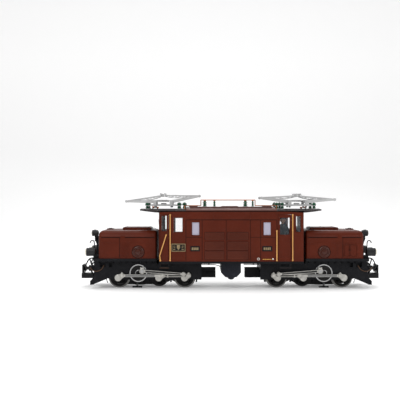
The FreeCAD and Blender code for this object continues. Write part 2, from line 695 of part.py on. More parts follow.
def transformer_box():
    """The box under the deck, with its tapered belly."""
    half, ends = 17.3, (-44.0, 44.0)
    outline = [(-half, S.deck_under), (-half, 28.5), (-10.0, 21.0), (10.0, 21.0), (half, 28.5),
               (half, S.deck_under)]
    belly = cylinder("y", ends, (0, 24.4), 7.6)
    return keep("transformer_box", fuse(prism("XZ", outline, ends), belly))


def insulator(x, y, bottom, top, radius):
    """A ribbed insulator: a core with three sheds."""
    pieces = [cylinder("z", (bottom, top), (x, y), radius * 0.55)]
    pitch = (top - bottom) / 4
    for k in range(3):
        low = bottom + pitch * (k + 0.6)
        pieces.append(cone("z", (low, low + pitch * 0.55), (x, y), (radius, radius * 0.7)))
    return fuse(*pieces)


PANTOS = {-1: S.panto_left, 1: S.panto_right}
BUS_POSTS = ((-46.9, 4.4), (-29.0, 2.7), (28.4, 4.6), (42.2, 2.5))
BASE_HALF = 23.0
BASE_Z = (149.0, 152.0)
POST_X = 29.0
POST_Y = 22.0


def roof_insulators():
    """The insulators under both pantographs and under the bus bar."""
    pieces = [insulator(x, 0, 146.8, 158.6, radius) for x, radius in BUS_POSTS]
    for side, middle in PANTOS.items():
        for x in (middle - POST_X, middle + POST_X, dim(side * 84.5)):
            pieces += [insulator(x, sign * POST_Y, 143.0, BASE_Z[0], 4.0) for sign in (-1, 1)]
    return keep("roof_insulators", group(*pieces))


def roof_conductor():
    """The copper bus bar on its insulators, with a lead from each end down to a pantograph."""
    top, low, radius = 160.0, 149.6, 0.8
    left, right = -54.2, 46.6
    pieces = [bar((left, 0, top), (right, 0, top), radius)]
    pieces += [cylinder("z", (158.6, top), (x, 0), 2.2) for x, _ in BUS_POSTS]
    for side, start in ((-1, left), (1, right)):
        pieces += [ball((start, 0, top), radius), bar((start, 0, top), (start, 0, low), radius)]
        pieces += [ball((start, 0, low), radius), bar((start, 0, low), (side * 84.5, 0, low), radius)]
        pieces.append(box((side * 83.0, side * 86.0), (-POST_Y - 2, POST_Y + 2), (BASE_Z[0], 151.0)))
    return keep("roof_conductor", fuse(*pieces))


RAIL_Y = 61.4
RAILS = (("long", -108.7), ("long", 108.6), ("short", 80.5))
LONG_RAIL = (52.0, 134.5)
SHORT_RAIL = (52.0, 106.0)


def handrails():
    """The grab rails beside the doors; one short rail has come loose and leans outwards."""
    radius = 0.95
    pieces = []
    for face in FACES:
        outward = face * RAIL_Y
        for kind, near_x in RAILS:
            x = -face * near_x
            low, high = LONG_RAIL if kind == "long" else SHORT_RAIL
            rail = [cylinder("z", (low, high), (x, outward), radius)]
            for z in (low + 1, high - 1):
                rail.append(cylinder("y", (face * S.half_width, outward), (x, z), radius))
                rail.append(ball((x, outward, z), 1.5))
            if kind == "long":
                rail.append(ball((x, outward, 106.0), 1.4))
            pieces.append(fuse(*rail))
    foot, knee, tip = (-126.2, -RAIL_Y, 52.5), (-127.2, -RAIL_Y, 61.5), (-115.8, -RAIL_Y, 98.0)
    pieces.append(fuse(bar(foot, knee, radius), ball(knee, radius), bar(knee, tip, radius), ball(tip, 1.2),
                       cylinder("y", (-S.half_width, -RAIL_Y), (foot[0], foot[2]), radius), ball(foot, 1.5)))
    x = 127.0
    rail = [cylinder("z", SHORT_RAIL, (x, RAIL_Y), radius)]
    for z in (SHORT_RAIL[0] + 1, SHORT_RAIL[1] - 1):
        rail += [cylinder("y", (S.half_width, RAIL_Y), (x, z), radius), ball((x, RAIL_Y, z), 1.5)]
    pieces.append(fuse(*rail))
    return keep("handrails", group(*pieces))


def cast_plates():
    """Framed plates on the sides, with plain raised panels and no lettering."""
    pieces = []
    plates = (((-72.8, -56.2), (69.0, 78.0)), ((54.8, 72.3), (69.0, 78.0)), ((-106.4, -81.6), (68.5, 82.4)))
    for face in FACES:
        for xs, zs in plates:
            low, high = sorted(turned(face, xs))
            frame = box((low, high), (face * S.half_width, face * (S.half_width + 0.9)), zs)
            panel = box((low + 1.2, high - 1.2), (face * (S.half_width + 0.4), face * (S.half_width + 2)),
                        (zs[0] + 1.2, zs[1] - 1.2))
            pieces.append(cut(frame, panel))
    return keep("cast_plates", group(*pieces))


def control_desks():
    """A desk against each cab's end wall, with a round control wheel on it."""
    pieces = []
    for side in SIDES:
        wall = side * (S.half_body - S.body_skin)
        desk = prism("XZ", [(wall, S.deck_top), (side * 114.0, S.deck_top), (side * 114.0, 88.0), (wall, 95.0)],
                     (-32.0, 32.0))
        post = cylinder("z", (86.0, 97.0), (side * 119.0, 8.0 * -side), 1.4)
        ring = doc.addObject("Part::Torus", fresh("ring"))
        ring.Radius1 = 6.0
        ring.Radius2 = 0.9
        place(ring, side * 119.0, 8.0 * -side, 97.0)
        spoke = cylinder("x", (side * 113.5, side * 124.5), (8.0 * -side, 97.0), 0.8)
        pieces.append(fuse(desk, post, ring, spoke))
    return keep("control_desks", group(*pieces))


def driver_figure():
    """A plain standing figure at the right cab's wide door, one arm on the sill's height."""
    x, y, floor = 95.0, -26.0, 50.8
    legs = [cone("z", (floor, 86.0), (x + step, y), (3.0, 3.9)) for step in (-3.6, 3.6)]
    torso = cone("z", (84.0, 112.0), (x, y), (6.6, 7.6))
    shoulders = ball((x, y, 111.0), 7.6)
    neck = cylinder("z", (115.0, 121.0), (x, y), 2.4)
    head = ball((x, y, 123.6), 5.0)
    cap = cylinder("z", (125.6, 129.0), (x, y), 5.6)
    arms = []
    for sign in (-1, 1):
        shoulder = (x + sign * 7.4, y, 112.0)
        elbow = (x + sign * 9.2, y - 1.5, 99.0)
        hand = (x + sign * 5.0, y + 8.0 * (1 if sign > 0 else 0), 92.0 if sign < 0 else 98.0)
        arms += [ball(shoulder, 2.8), bar(shoulder, elbow, 2.4), ball(elbow, 2.4), bar(elbow, hand, 2.1),
                 ball(hand, 2.3)]
    return keep("driver_figure", fuse(*legs, torso, shoulders, neck, head, cap, *arms))


underframe()
body_shell()
glazing()
roofs()
transformer_box()
roof_insulators()
roof_conductor()
handrails()
cast_plates()
control_desks()
driver_figure()
for door_face in FACES:
    for door_kind in DOORS:
        cab_door(door_face, door_kind)


# ---------------------------------------------------------------- pantographs

# rest elevation of each lower arm above the level, in degrees: arm towards -X, arm towards +X
REST_LIFT = {-1: {-1: 0.6, 1: 11.2}, 1: {-1: 7.5, 1: 4.2}}
UPPER_ARM = 67.45
ARM_WORD = {True: "outer", False: "inner"}
EYE_Y = {-1: 15.0, 1: 11.0}


def arm_pivot(middle, way):
    """A lower arm's fixed pivot, seen along Y."""
    return middle + way * S.panto_half_gap, S.panto_pivot_z


def arm_knee(side, middle, way):
    """The knee at the end of a lower arm, seen along Y."""
    x, z = arm_pivot(middle, way)
    lift = math.radians(REST_LIFT[side][way])
    return x + way * S.lower_arm * round(math.cos(lift), 6), z + S.lower_arm * round(math.sin(lift), 6)


def head_pivot(side, middle):
    """Where the two upper arms meet: equal arms standing on both knees."""
    (ax, az), (bx, bz) = (arm_knee(side, middle, way) for way in (-1, 1))
    half_x, half_z = (bx.value - ax.value) / 2, (bz.value - az.value) / 2
    half = math.hypot(half_x, half_z)
    rise = math.sqrt(UPPER_ARM ** 2 - half ** 2)
    return ((ax + bx) / 2 - half_z / half * rise, (az + bz) / 2 + half_x / half * rise)


def part_way(a, b, share):
    """A point between two pivots, seen along Y."""
    return a[0] + (b[0] - a[0]) * share, a[1] + (b[1] - a[1]) * share


def strut(a, y_a, b, y_b, radius):
    """A round strut between two places that are given as (x, z) and y."""
    return bar((a[0], y_a, a[1]), (b[0], y_b, b[1]), radius)


def blade(a, half_a, b, half_b, ends):
    """A flat side bar that tapers from one pivot to another, seen along Y."""
    outline = [(a[0], a[1] - half_a), (b[0], b[1] - half_b), (b[0], b[1] + half_b), (a[0], a[1] + half_a)]
    return prism("XZ", outline, ends)


def panto_base(side, middle):
    """The frame between the insulators, with lugs on them and four ears for the lower arms' pivots."""
    outer_y = POST_Y + 2
    ends = (middle - BASE_HALF, middle + BASE_HALF)
    pieces = [box(ends, (sign * (outer_y - 3), sign * outer_y), BASE_Z) for sign in (-1, 1)]
    for x in (ends[0], middle - 1.5, ends[1] - 3):
        pieces.append(box((x, x + 3), (-outer_y, outer_y), BASE_Z))
    for way in (-1, 1):
        x, z = arm_pivot(middle, way)
        lug = (middle + way * (BASE_HALF - 1), middle + way * (POST_X + 3))
        for sign in (-1, 1):
            ear = box((x - 2.6, x + 2.6), (sign * 22.4, sign * 25.4), (BASE_Z[0] + 0.5, z + 2.6))
            pieces.append(cut(ear, cylinder("y", (sign * 22, sign * 26), (x, z), 1.0 + S.running_gap)))
            pieces.append(box(lug, (sign * (POST_Y - 2.5), sign * (POST_Y + 2)), (BASE_Z[0], 150.4)))
    return keep(f"{SIDES[side]}_panto_base", fuse(*pieces))


def lower_arm(side, middle, way):
    """A lower arm: pivot tube, two tapered side bars, cross braces, and the knee's shaft."""
    pivot, knee = arm_pivot(middle, way), arm_knee(side, middle, way)
    half = S.lower_arm_y
    pieces = [cylinder("y", (-half - 1.6, half + 1.6), pivot, 2.0), cylinder("y", (-25.2, 25.2), pivot, 1.0),
              cylinder("y", (-half - 1.2, half + 1.2), knee, 1.0)]
    near, far = part_way(pivot, knee, 0.06), part_way(pivot, knee, 0.56)
    brace = (far[0], far[1] - 1.2)
    for sign in (-1, 1):
        ends = (sign * (half - 0.9), sign * (half + 0.9))
        pieces += [blade(pivot, 2.9, knee, 1.9, ends), cylinder("y", ends, pivot, 2.9),
                   cylinder("y", (sign * (half - 1.3), sign * (half + 1.3)), knee, 2.5),
                   strut(near, sign * half, brace, -sign * half, 0.8)]
    pieces.append(strut(brace, -half, brace, half, 0.9))
    return keep(f"{SIDES[side]}_panto_lower_arm_{ARM_WORD[way == side]}", fuse(*pieces))


def upper_arm(side, middle, way):
    """An upper arm: two tapered side bars with an eye at each end, two cross tubes and a brace."""
    knee, top = arm_knee(side, middle, way), head_pivot(side, middle)
    half = EYE_Y[way]
    low, high = part_way(knee, top, 0.1), part_way(knee, top, 0.9)
    pieces = [strut(low, -half, low, half, 0.8), strut(high, -half, high, half, 0.8)]
    holes = []
    top_hole = 1.0 + S.running_gap if way < 0 else dim(1.75)
    for sign in (-1, 1):
        ends = (sign * (half - 1.1), sign * (half + 1.1))
        pieces += [blade(knee, 1.6, top, 1.1, (sign * (half - 0.8), sign * (half + 0.8))),
                   strut(low, sign * half, high, -sign * half, 0.7),
                   cylinder("y", ends, knee, 2.2), cylinder("y", ends, top, 2.6)]
        past = (sign * (half - 2), sign * (half + 2))
        holes += [cylinder("y", past, knee, 1.0 + S.running_gap), cylinder("y", past, top, top_hole)]
    return keep(f"{SIDES[side]}_panto_upper_arm_{ARM_WORD[way == side]}", cut(fuse(*pieces), *holes))


def panto_head(side, middle):
    """The collector head: an axle, two saddles, and two contact strips with down-turned horns."""
    x, z = head_pivot(side, middle)
    pieces = [cylinder("y", (-17.0, 17.0), (x, z), 1.0)]
    for sign in (-1, 1):
        pieces.append(box((x - 4.8, x + 4.8), (sign * 5.6, sign * 7.2), (z - 1.4, z + 2.2)))
        middle_x = x + sign * 3.8
        pieces.append(box((middle_x - 1.0, middle_x + 1.0), (-30.0, 30.0), (z + 1.5, z + 3.2)))
        for end in (-1, 1):
            tip = (middle_x, end * 37.0, z - 1.8)
            pieces += [bar((middle_x, end * 29.6, z + 2.4), tip, 0.8), ball(tip, 0.8)]
    return keep(f"{SIDES[side]}_panto_head", fuse(*pieces))


for panto_side, panto_middle in PANTOS.items():
    panto_base(panto_side, panto_middle)
    panto_head(panto_side, panto_middle)
    for arm_way in (-1, 1):
        lower_arm(panto_side, panto_middle, arm_way)
        upper_arm(panto_side, panto_middle, arm_way)


# ---------------------------------------------------------------- check and write

doc.recompute()
for piece in doc.Objects:
    if "Invalid" in piece.State or "Error" in piece.State:
        raise RuntimeError(f"{piece.Name} ({piece.TypeId}) failed: {piece.State}")
for name, sub_part in parts.items():
    if sub_part.Shape.isNull() or not sub_part.Shape.isValid():
        raise RuntimeError(f"{name} has no valid shape")

os.makedirs("parts", exist_ok=True)
for name, sub_part in parts.items():
    sub_part.Shape.exportStep(f"parts/{name}.step")
print(len(parts), "sub-parts written")
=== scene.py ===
import json
import math

import bmesh
import bpy
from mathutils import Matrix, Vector


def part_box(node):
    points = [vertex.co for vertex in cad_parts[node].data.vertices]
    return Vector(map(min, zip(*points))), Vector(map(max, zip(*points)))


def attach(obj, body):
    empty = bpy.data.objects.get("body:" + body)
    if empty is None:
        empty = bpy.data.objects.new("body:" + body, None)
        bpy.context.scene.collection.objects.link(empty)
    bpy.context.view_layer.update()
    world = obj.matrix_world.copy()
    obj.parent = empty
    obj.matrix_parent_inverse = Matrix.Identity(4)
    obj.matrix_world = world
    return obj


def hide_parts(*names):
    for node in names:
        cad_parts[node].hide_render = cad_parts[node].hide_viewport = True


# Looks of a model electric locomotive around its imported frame. Shapes are collected in
# millimetres, in the frame's own axes, and scaled to metres when each piece is made.

MM = 0.001
SIDES = {-1: "left", 1: "right"}
FACES = (-1, 1)
SHAPE_CREASE = 35.0     # degrees between faces from which an edge of a drawn piece is sharp
NODE_CREASE = 30.0      # the same for a copy of a CAD node
BEVEL_FROM = 40.0       # degrees between faces from which an edge is softened

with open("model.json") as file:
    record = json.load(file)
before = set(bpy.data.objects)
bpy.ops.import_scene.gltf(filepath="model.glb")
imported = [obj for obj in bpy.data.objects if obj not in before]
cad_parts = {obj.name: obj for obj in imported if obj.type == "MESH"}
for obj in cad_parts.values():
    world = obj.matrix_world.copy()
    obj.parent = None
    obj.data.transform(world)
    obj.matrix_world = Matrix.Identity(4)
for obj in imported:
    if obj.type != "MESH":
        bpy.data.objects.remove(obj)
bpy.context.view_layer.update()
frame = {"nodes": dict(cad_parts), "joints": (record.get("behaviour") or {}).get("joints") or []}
scene = bpy.context.scene


# ---------------------------------------------------------------- camera, floor and light

def make_camera():
    """A long lens a little above the locomotive's roof, square to its side."""
    data = bpy.data.cameras.new("camera")
    data.lens = 62.9
    data.sensor_width = 36.0
    camera = bpy.data.objects.new("camera", data)
    camera.location = (-0.0558, -1.300, 0.160)
    camera.rotation_euler = (math.radians(90), 0, 0)
    scene.collection.objects.link(camera)
    scene.camera = camera


def area_light(name, place, target, size, power):
    """A soft rectangular light that points at a target."""
    data = bpy.data.lights.new(name, "AREA")
    data.shape = "RECTANGLE"
    data.size, data.size_y = size
    data.energy = power
    light = bpy.data.objects.new(name, data)
    light.location = place
    light.rotation_euler = (Vector(target) - Vector(place)).to_track_quat("-Z", "Y").to_euler()
    scene.collection.objects.link(light)


def make_stage():
    """A pale floor that runs up into a backdrop, and white surroundings."""
    depth, half, rise, bend, steps = 2.4, 6.0, 3.0, 0.9, 12
    line = [(-4.0, 0.0), (depth - bend, 0.0)]
    for k in range(1, steps + 1):
        turn = math.pi / 2 * k / steps
        line.append((depth - bend + bend * math.sin(turn), bend - bend * math.cos(turn)))
    line.append((depth, rise))
    bm = bmesh.new()
    rows = [[bm.verts.new((x, y, z)) for x in (-half, half)] for y, z in line]
    for low, high in zip(rows, rows[1:]):
        bm.faces.new((low[0], low[1], high[1], high[0]))
    mesh = bpy.data.meshes.new("floor")
    bm.to_mesh(mesh)
    bm.free()
    for polygon in mesh.polygons:
        polygon.use_smooth = True
    floor = bpy.data.objects.new("floor", mesh)
    scene.collection.objects.link(floor)
    pale = bpy.data.materials.new("floor_white")
    pale.use_nodes = True
    shader = pale.node_tree.nodes["Principled BSDF"]
    shader.inputs["Base Color"].default_value = (0.93, 0.93, 0.93, 1)
    shader.inputs["Roughness"].default_value = 0.6
    shader.inputs["Emission Color"].default_value = (1, 1, 1, 1)
    shader.inputs["Emission Strength"].default_value = 0.16
    mesh.materials.append(pale)
    world = bpy.data.worlds.new("surroundings")
    world.use_nodes = True
    background = world.node_tree.nodes["Background"]
    background.inputs["Color"].default_value = (1.0, 1.0, 1.0, 1)
    background.inputs["Strength"].default_value = 0.56
    scene.world = world
    scene.view_settings.view_transform = "Standard"
    middle = (0, 0, 0.09)
    area_light("key", (-0.9, -1.5, 1.5), middle, (1.2, 0.8), 15)
    area_light("fill", (1.3, -1.2, 0.8), middle, (0.9, 0.9), 7)
    area_light("top", (0.0, 0.1, 1.6), middle, (1.8, 0.8), 11)
    area_light("back", (0.2, 1.5, 1.2), middle, (1.6, 0.8), 8)


make_camera()
make_stage()


# ---------------------------------------------------------------- materials

def paint(name, colour, rough, metal=0.0, coat=0.0, vary=0.12, grain=0.02, bump_scale=900.0,
          patch_scale=28.0, stretch=(1, 1, 1), dust=0.0, specular=0.25):
    """A procedural finish: slow patches of shade, a finer grain in gloss, and a fine bump."""
    material = bpy.data.materials.new(name)
    material.use_nodes = True
    tree = material.node_tree
    nodes, links = tree.nodes, tree.links
    shader = nodes["Principled BSDF"]
    shader.inputs["Metallic"].default_value = metal
    shader.inputs["Coat Weight"].default_value = coat
    shader.inputs["Coat Roughness"].default_value = 0.25
    shader.inputs["Specular IOR Level"].default_value = specular
    places = nodes.new("ShaderNodeTexCoord")
    mapping = nodes.new("ShaderNodeMapping")
    mapping.inputs["Scale"].default_value = stretch
    links.new(places.outputs["Object"], mapping.inputs["Vector"])

    def noise(scale, detail):
        node = nodes.new("ShaderNodeTexNoise")
        node.inputs["Scale"].default_value = scale
        node.inputs["Detail"].default_value = detail
        links.new(mapping.outputs["Vector"], node.inputs["Vector"])
        return node.outputs["Fac"]

    def ramp(fac, low, high, start=0.3, end=0.7):
        node = nodes.new("ShaderNodeValToRGB")
        node.color_ramp.elements[0].color = (*low, 1)
        node.color_ramp.elements[1].color = (*high, 1)
        node.color_ramp.elements[0].position = start
        node.color_ramp.elements[1].position = end
        links.new(fac, node.inputs["Fac"])
        return node.outputs["Color"]

    dark = tuple(c * (1 - vary) for c in colour)
    light = tuple(min(1.0, c * (1 + vary)) for c in colour)
    tint = ramp(noise(patch_scale, 4), dark, light)
    if dust:
        grey = tuple(c * 0.6 + 0.14 for c in colour)
        mix = nodes.new("ShaderNodeMix")
        mix.data_type = "RGBA"
        links.new(tint, mix.inputs["A"])
        mix.inputs["B"].default_value = (*grey, 1)
        faint = (dust, dust, dust)
        links.new(ramp(noise(170, 8), (0, 0, 0), faint, 0.5, 0.72), mix.inputs["Factor"])
        tint = mix.outputs["Result"]
    links.new(tint, shader.inputs["Base Color"])
    spread = nodes.new("ShaderNodeMapRange")
    spread.inputs["To Min"].default_value = max(0.02, rough - 0.08)
    spread.inputs["To Max"].default_value = min(1.0, rough + 0.08)
    links.new(noise(220, 5), spread.inputs["Value"])
    links.new(spread.outputs["Result"], shader.inputs["Roughness"])
    bump = nodes.new("ShaderNodeBump")
    bump.inputs["Strength"].default_value = grain * 10
    bump.inputs["Distance"].default_value = 0.0002
    links.new(noise(bump_scale, 3), bump.inputs["Height"])
    links.new(bump.outputs["Normal"], shader.inputs["Normal"])
    return material


def pane(name, colour, rough, alpha):
    """A window pane or lens, with faint streaks in its gloss."""
    material = paint(name, colour, rough, vary=0.03, grain=0.004, patch_scale=60)
    shader = material.node_tree.nodes["Principled BSDF"]
    shader.inputs["Alpha"].default_value = alpha
    shader.inputs["IOR"].default_value = 1.45
    return material


BROWN = (0.080, 0.0122, 0.0046)
MATERIALS = {
    "brown_paint": paint("brown_paint", BROWN, 0.38, vary=0.12, grain=0.015, dust=0.02, specular=0.1),
    "brown_gloss": paint("brown_gloss", (0.046, 0.009, 0.004), 0.22, coat=0.12, vary=0.1, specular=0.2),
    "brown_raised": paint("brown_raised", (0.088, 0.019, 0.010), 0.5, vary=0.1, grain=0.02, dust=0.02,
                          specular=0.12),
    # The dark seam brown is the colour of real panel joints and door gaps. It is also used as painted shade: the
    # rings around the louvres, the strips under the eaves and gutters, and the rings round the bearing covers' feet.
    "brown_seam_and_shade": paint("brown_seam_and_shade", (0.012, 0.004, 0.003), 0.8, specular=0.1),
    "roof_brown": paint("roof_brown", (0.115, 0.05, 0.042), 0.62, vary=0.14, grain=0.05, dust=0.15),
    "roof_dark": paint("roof_dark", (0.026, 0.020, 0.020), 0.55, vary=0.15, grain=0.04, dust=0.12,
                       specular=0.15),
    "frame_dark": paint("frame_dark", (0.0055, 0.0056, 0.0072), 0.45, vary=0.2, grain=0.03, dust=0.03,
                        specular=0.12),
    "underbox": paint("underbox", (0.011, 0.012, 0.018), 0.5, vary=0.15, grain=0.03, dust=0.05,
                      specular=0.15),
    "clear_glass": pane("clear_glass", (0.3, 0.32, 0.35), 0.05, 0.06),
    "frosted_glass": pane("frosted_glass", (0.38, 0.36, 0.445), 0.35, 1.0),
    "yellow_rail": paint("yellow_rail", (0.62, 0.31, 0.085), 0.36, vary=0.1, grain=0.02, patch_scale=90,
                         specular=0.5),
    "step_brown": paint("step_brown", (0.07, 0.035, 0.018), 0.5, vary=0.2, grain=0.03),
    "green_insulator": paint("green_insulator", (0.008, 0.07, 0.03), 0.2, coat=0.4, vary=0.25,
                             grain=0.01, patch_scale=140),
    "copper": paint("copper", (0.50, 0.17, 0.075), 0.35, metal=0.6, vary=0.2, patch_scale=120),
    "brass_plate": paint("brass_plate", (0.26, 0.19, 0.105), 0.42, metal=0.5, vary=0.2, patch_scale=200),
    "desk_grey": paint("desk_grey", (0.02, 0.023, 0.03), 0.55, grain=0.06),
    "figure_coat": paint("figure_coat", (0.028, 0.062, 0.066), 0.65, grain=0.08, bump_scale=1500),
    "figure_dark": paint("figure_dark", (0.012, 0.013, 0.018), 0.7, grain=0.08, bump_scale=1500),
    "figure_skin": paint("figure_skin", (0.55, 0.33, 0.22), 0.55, vary=0.06, grain=0.02),
    "panto_silver": paint("panto_silver", (0.50, 0.50, 0.50), 0.38, metal=0.4, vary=0.07, grain=0.03,
                          patch_scale=130),
    "carbon": paint("carbon", (0.10, 0.10, 0.105), 0.5, vary=0.2, stretch=(1, 12, 1)),
    "nickel": paint("nickel", (0.42, 0.41, 0.385), 0.33, metal=0.9, vary=0.14, grain=0.03, patch_scale=120),
    "rod_grey": paint("rod_grey", (0.17, 0.17, 0.17), 0.38, metal=0.8, vary=0.1, grain=0.02,
                      stretch=(0.15, 1, 1)),
    # painted shade: a near-black used only for the rods' fluting, standing for the shade in its grooves
    "rod_flute_shade": paint("rod_flute_shade", (0.022, 0.022, 0.022), 0.55, vary=0.15, specular=0.15),
    "bright_rim": paint("bright_rim", (0.33, 0.33, 0.33), 0.24, metal=1.0, vary=0.06, grain=0.008),
    "tyre_steel": paint("tyre_steel", (0.15, 0.148, 0.14), 0.32, metal=0.85, vary=0.12, grain=0.02),
    "wheel_dark": paint("wheel_dark", (0.008, 0.0075, 0.0075), 0.5, vary=0.2, grain=0.04, dust=0.04,
                        specular=0.12),
    "gear_plastic": paint("gear_plastic", (0.006, 0.006, 0.007), 0.5, vary=0.15, grain=0.03, specular=0.12),
    "motor_steel": paint("motor_steel", (0.4, 0.4, 0.41), 0.35, metal=0.9),
    "lamp_black": paint("lamp_black", (0.009, 0.009, 0.010), 0.35, vary=0.1, specular=0.3),
    "lamp_lens": pane("lamp_lens", (0.80, 0.76, 0.66), 0.12, 1.0),
    "coupler_black": paint("coupler_black", (0.007, 0.007, 0.008), 0.42, vary=0.15, grain=0.03, specular=0.2),
    "contact_brass": paint("contact_brass", (0.42, 0.30, 0.14), 0.3, metal=0.9, stretch=(0.2, 1, 1)),
    "mark_white": paint("mark_white", (0.75, 0.74, 0.70), 0.5, vary=0.05),
    "mark_yellow": paint("mark_yellow", (0.60, 0.34, 0.06), 0.5, vary=0.08),
}


# ---------------------------------------------------------------- mesh building

class Shape:
    """A mesh collected piece by piece, in millimetres; every x given is multiplied by side."""

    def __init__(self, side=1):
        self.bm = bmesh.new()
        self.side = side

    def skin(self, rings, closed_along=False):
        """Faces between rings of points; the rings all have as many points."""
        rows = [[self.bm.verts.new(p) for p in ring] for ring in rings]
        pairs = list(zip(rows, rows[1:])) + ([(rows[-1], rows[0])] if closed_along else [])
        count = len(rows[0])
        for low, high in pairs:
            for k in range(count):
                n = (k + 1) % count
                self.bm.faces.new((low[k], low[n], high[n], high[k]))
        if not closed_along:
            self.bm.faces.new(rows[0][::-1])
            self.bm.faces.new(rows[-1])

    def box(self, x, y, z):
        """A box from three pairs of ends, in either order."""
        (x0, x1), (y0, y1), (z0, z1) = sorted(self.side * end for end in x), sorted(y), sorted(z)
        self.skin([[(x0, y0, c), (x1, y0, c), (x1, y1, c), (x0, y1, c)] for c in (z0, z1)])

    def prism(self, plane, outline, ends):
        """A straight-edged outline drawn in XZ, XY or YZ and run along the third axis."""
        if plane == "YZ":
            ends = [self.side * end for end in ends]
        else:
            outline = [(self.side * a, b) for a, b in outline]
        low, high = sorted(ends)
        lift = {"XZ": lambda a, b, c: (a, c, b), "XY": lambda a, b, c: (a, b, c),
                "YZ": lambda a, b, c: (c, a, b)}[plane]
        self.skin([[lift(a, b, c) for a, b in outline] for c in (low, high)])

    def lathe(self, axis, across, profile, sides=24):
        """A turned shape along an axis: profile holds (place along it, radius) pairs."""
        if axis == "x":
            profile = [(self.side * along, radius) for along, radius in profile]
        else:
            across = (self.side * across[0], across[1])
        rings = []
        for along, radius in profile:
            ring = []
            for k in range(sides):
                a = 2 * math.pi * k / sides
                u, v = across[0] + radius * math.cos(a), across[1] + radius * math.sin(a)
                ring.append({"x": (along, u, v), "y": (u, along, v), "z": (u, v, along)}[axis])
            rings.append(ring)
        self.skin(rings)

    def torus(self, axis, centre, radius, thickness, sides=32, around=10):
        """A ring about an axis."""
        centre = (self.side * centre[0], centre[1], centre[2])
        rings = []
        for k in range(sides):
            a = 2 * math.pi * k / sides
            ring = []
            for j in range(around):
                b = 2 * math.pi * j / around
                r, h = radius + thickness * math.cos(b), thickness * math.sin(b)
                u, v = r * math.cos(a), r * math.sin(a)
                step = {"x": (h, u, v), "y": (u, h, v), "z": (u, v, h)}[axis]
                ring.append(tuple(c + d for c, d in zip(centre, step)))
            rings.append(ring)
        self.skin(rings, closed_along=True)

    def tube(self, points, radius, sides=10):
        """A round tube along a line of points, mitred at its corners."""
        pts = [Vector((self.side * p[0], p[1], p[2])) for p in points]
        count = len(pts)
        normal = None
        rings = []
        for i, p in enumerate(pts):
            before = pts[i - 1] if i else pts[i]
            after = pts[i + 1] if i < count - 1 else pts[i]
            tangent = (after - before).normalized()
            if normal is None:
                normal = tangent.orthogonal().normalized()
            normal = (normal - tangent * normal.dot(tangent)).normalized()
            side = tangent.cross(normal)
            rings.append([p + radius * (math.cos(a) * normal + math.sin(a) * side)
                          for a in (2 * math.pi * k / sides for k in range(sides))])
        self.skin(rings)

    def rivets(self, places, axis, out, radius=0.5, height=0.35):
        """Low domed heads on a surface; out is the way they stand, -1 or 1."""
        for place in places:
            index = "xyz".index(axis)
            across = tuple(c for i, c in enumerate(place) if i != index)
            start = place[index]
            self.lathe(axis, across, [(start - out * 0.3, radius), (start + out * height * 0.5, radius),
                                      (start + out * height, radius * 0.5)], sides=8)

    def make(self, name, material, body, slot, bevel=0.0):
        """Turn the collected shape into a piece that rides on a body."""
        bmesh.ops.recalc_face_normals(self.bm, faces=self.bm.faces)
        bmesh.ops.scale(self.bm, vec=(MM, MM, MM), verts=self.bm.verts)
        mesh = bpy.data.meshes.new(name)
        self.bm.to_mesh(mesh)
        self.bm.free()
        return finish_piece(name, mesh, material, body, bevel, SHAPE_CREASE)


def finish_piece(name, mesh, material, body, bevel, crease):
    """An object with its material, soft edges and shading, riding on its body."""
    piece = bpy.data.objects.new(name, mesh)
    scene.collection.objects.link(piece)
    mesh.materials.append(MATERIALS[material])
    for polygon in mesh.polygons:
        polygon.use_smooth = True
    mesh.set_sharp_from_angle(angle=math.radians(crease))
    if bevel:
        modifier = piece.modifiers.new("soft_edges", "BEVEL")
        modifier.width = bevel * MM
        modifier.segments = 2
        modifier.limit_method = "ANGLE"
        modifier.angle_limit = math.radians(BEVEL_FROM)
        modifier.harden_normals = True
    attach(piece, body)
    return piece


def curve_points(points, rounds=2):
    """A smoother copy of a line of points, by cutting its corners."""
    line = [Vector(p) for p in points]
    for _ in range(rounds):
        longer = [line[0]]
        for a, b in zip(line, line[1:]):
            longer += [a.lerp(b, 0.25), a.lerp(b, 0.75)]
        line = longer + [line[-1]]
    return line


def node_material(node, *materials, pick=None):
    """Give a CAD node its finishes; pick reads a face's centre in mm and returns a finish's number."""
    mesh = frame["nodes"][node].data
    mesh.materials.clear()
    for material in materials:
        mesh.materials.append(MATERIALS[material])
    for polygon in mesh.polygons:
        polygon.material_index = pick(polygon.center / MM) if pick else 0


def softened(node, material, body, width, pick=None, extra=()):
    """A copy of a CAD node with soft edges, standing for the node."""
    bm = bmesh.new()
    bm.from_mesh(frame["nodes"][node].data)
    bmesh.ops.remove_doubles(bm, verts=bm.verts, dist=1e-6)
    bmesh.ops.dissolve_limit(bm, angle_limit=math.radians(1.0), verts=bm.verts, edges=bm.edges)
    mesh = bpy.data.meshes.new(node + "_soft")
    bm.to_mesh(mesh)
    bm.free()
    piece = finish_piece(node + "_soft", mesh, material, body, width, NODE_CREASE)
    for name in extra:
        mesh.materials.append(MATERIALS[name])
    if pick:
        for polygon in mesh.polygons:
            polygon.material_index = pick(polygon.center / MM)
    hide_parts(node)
    return piece


# ---------------------------------------------------------------- centre body

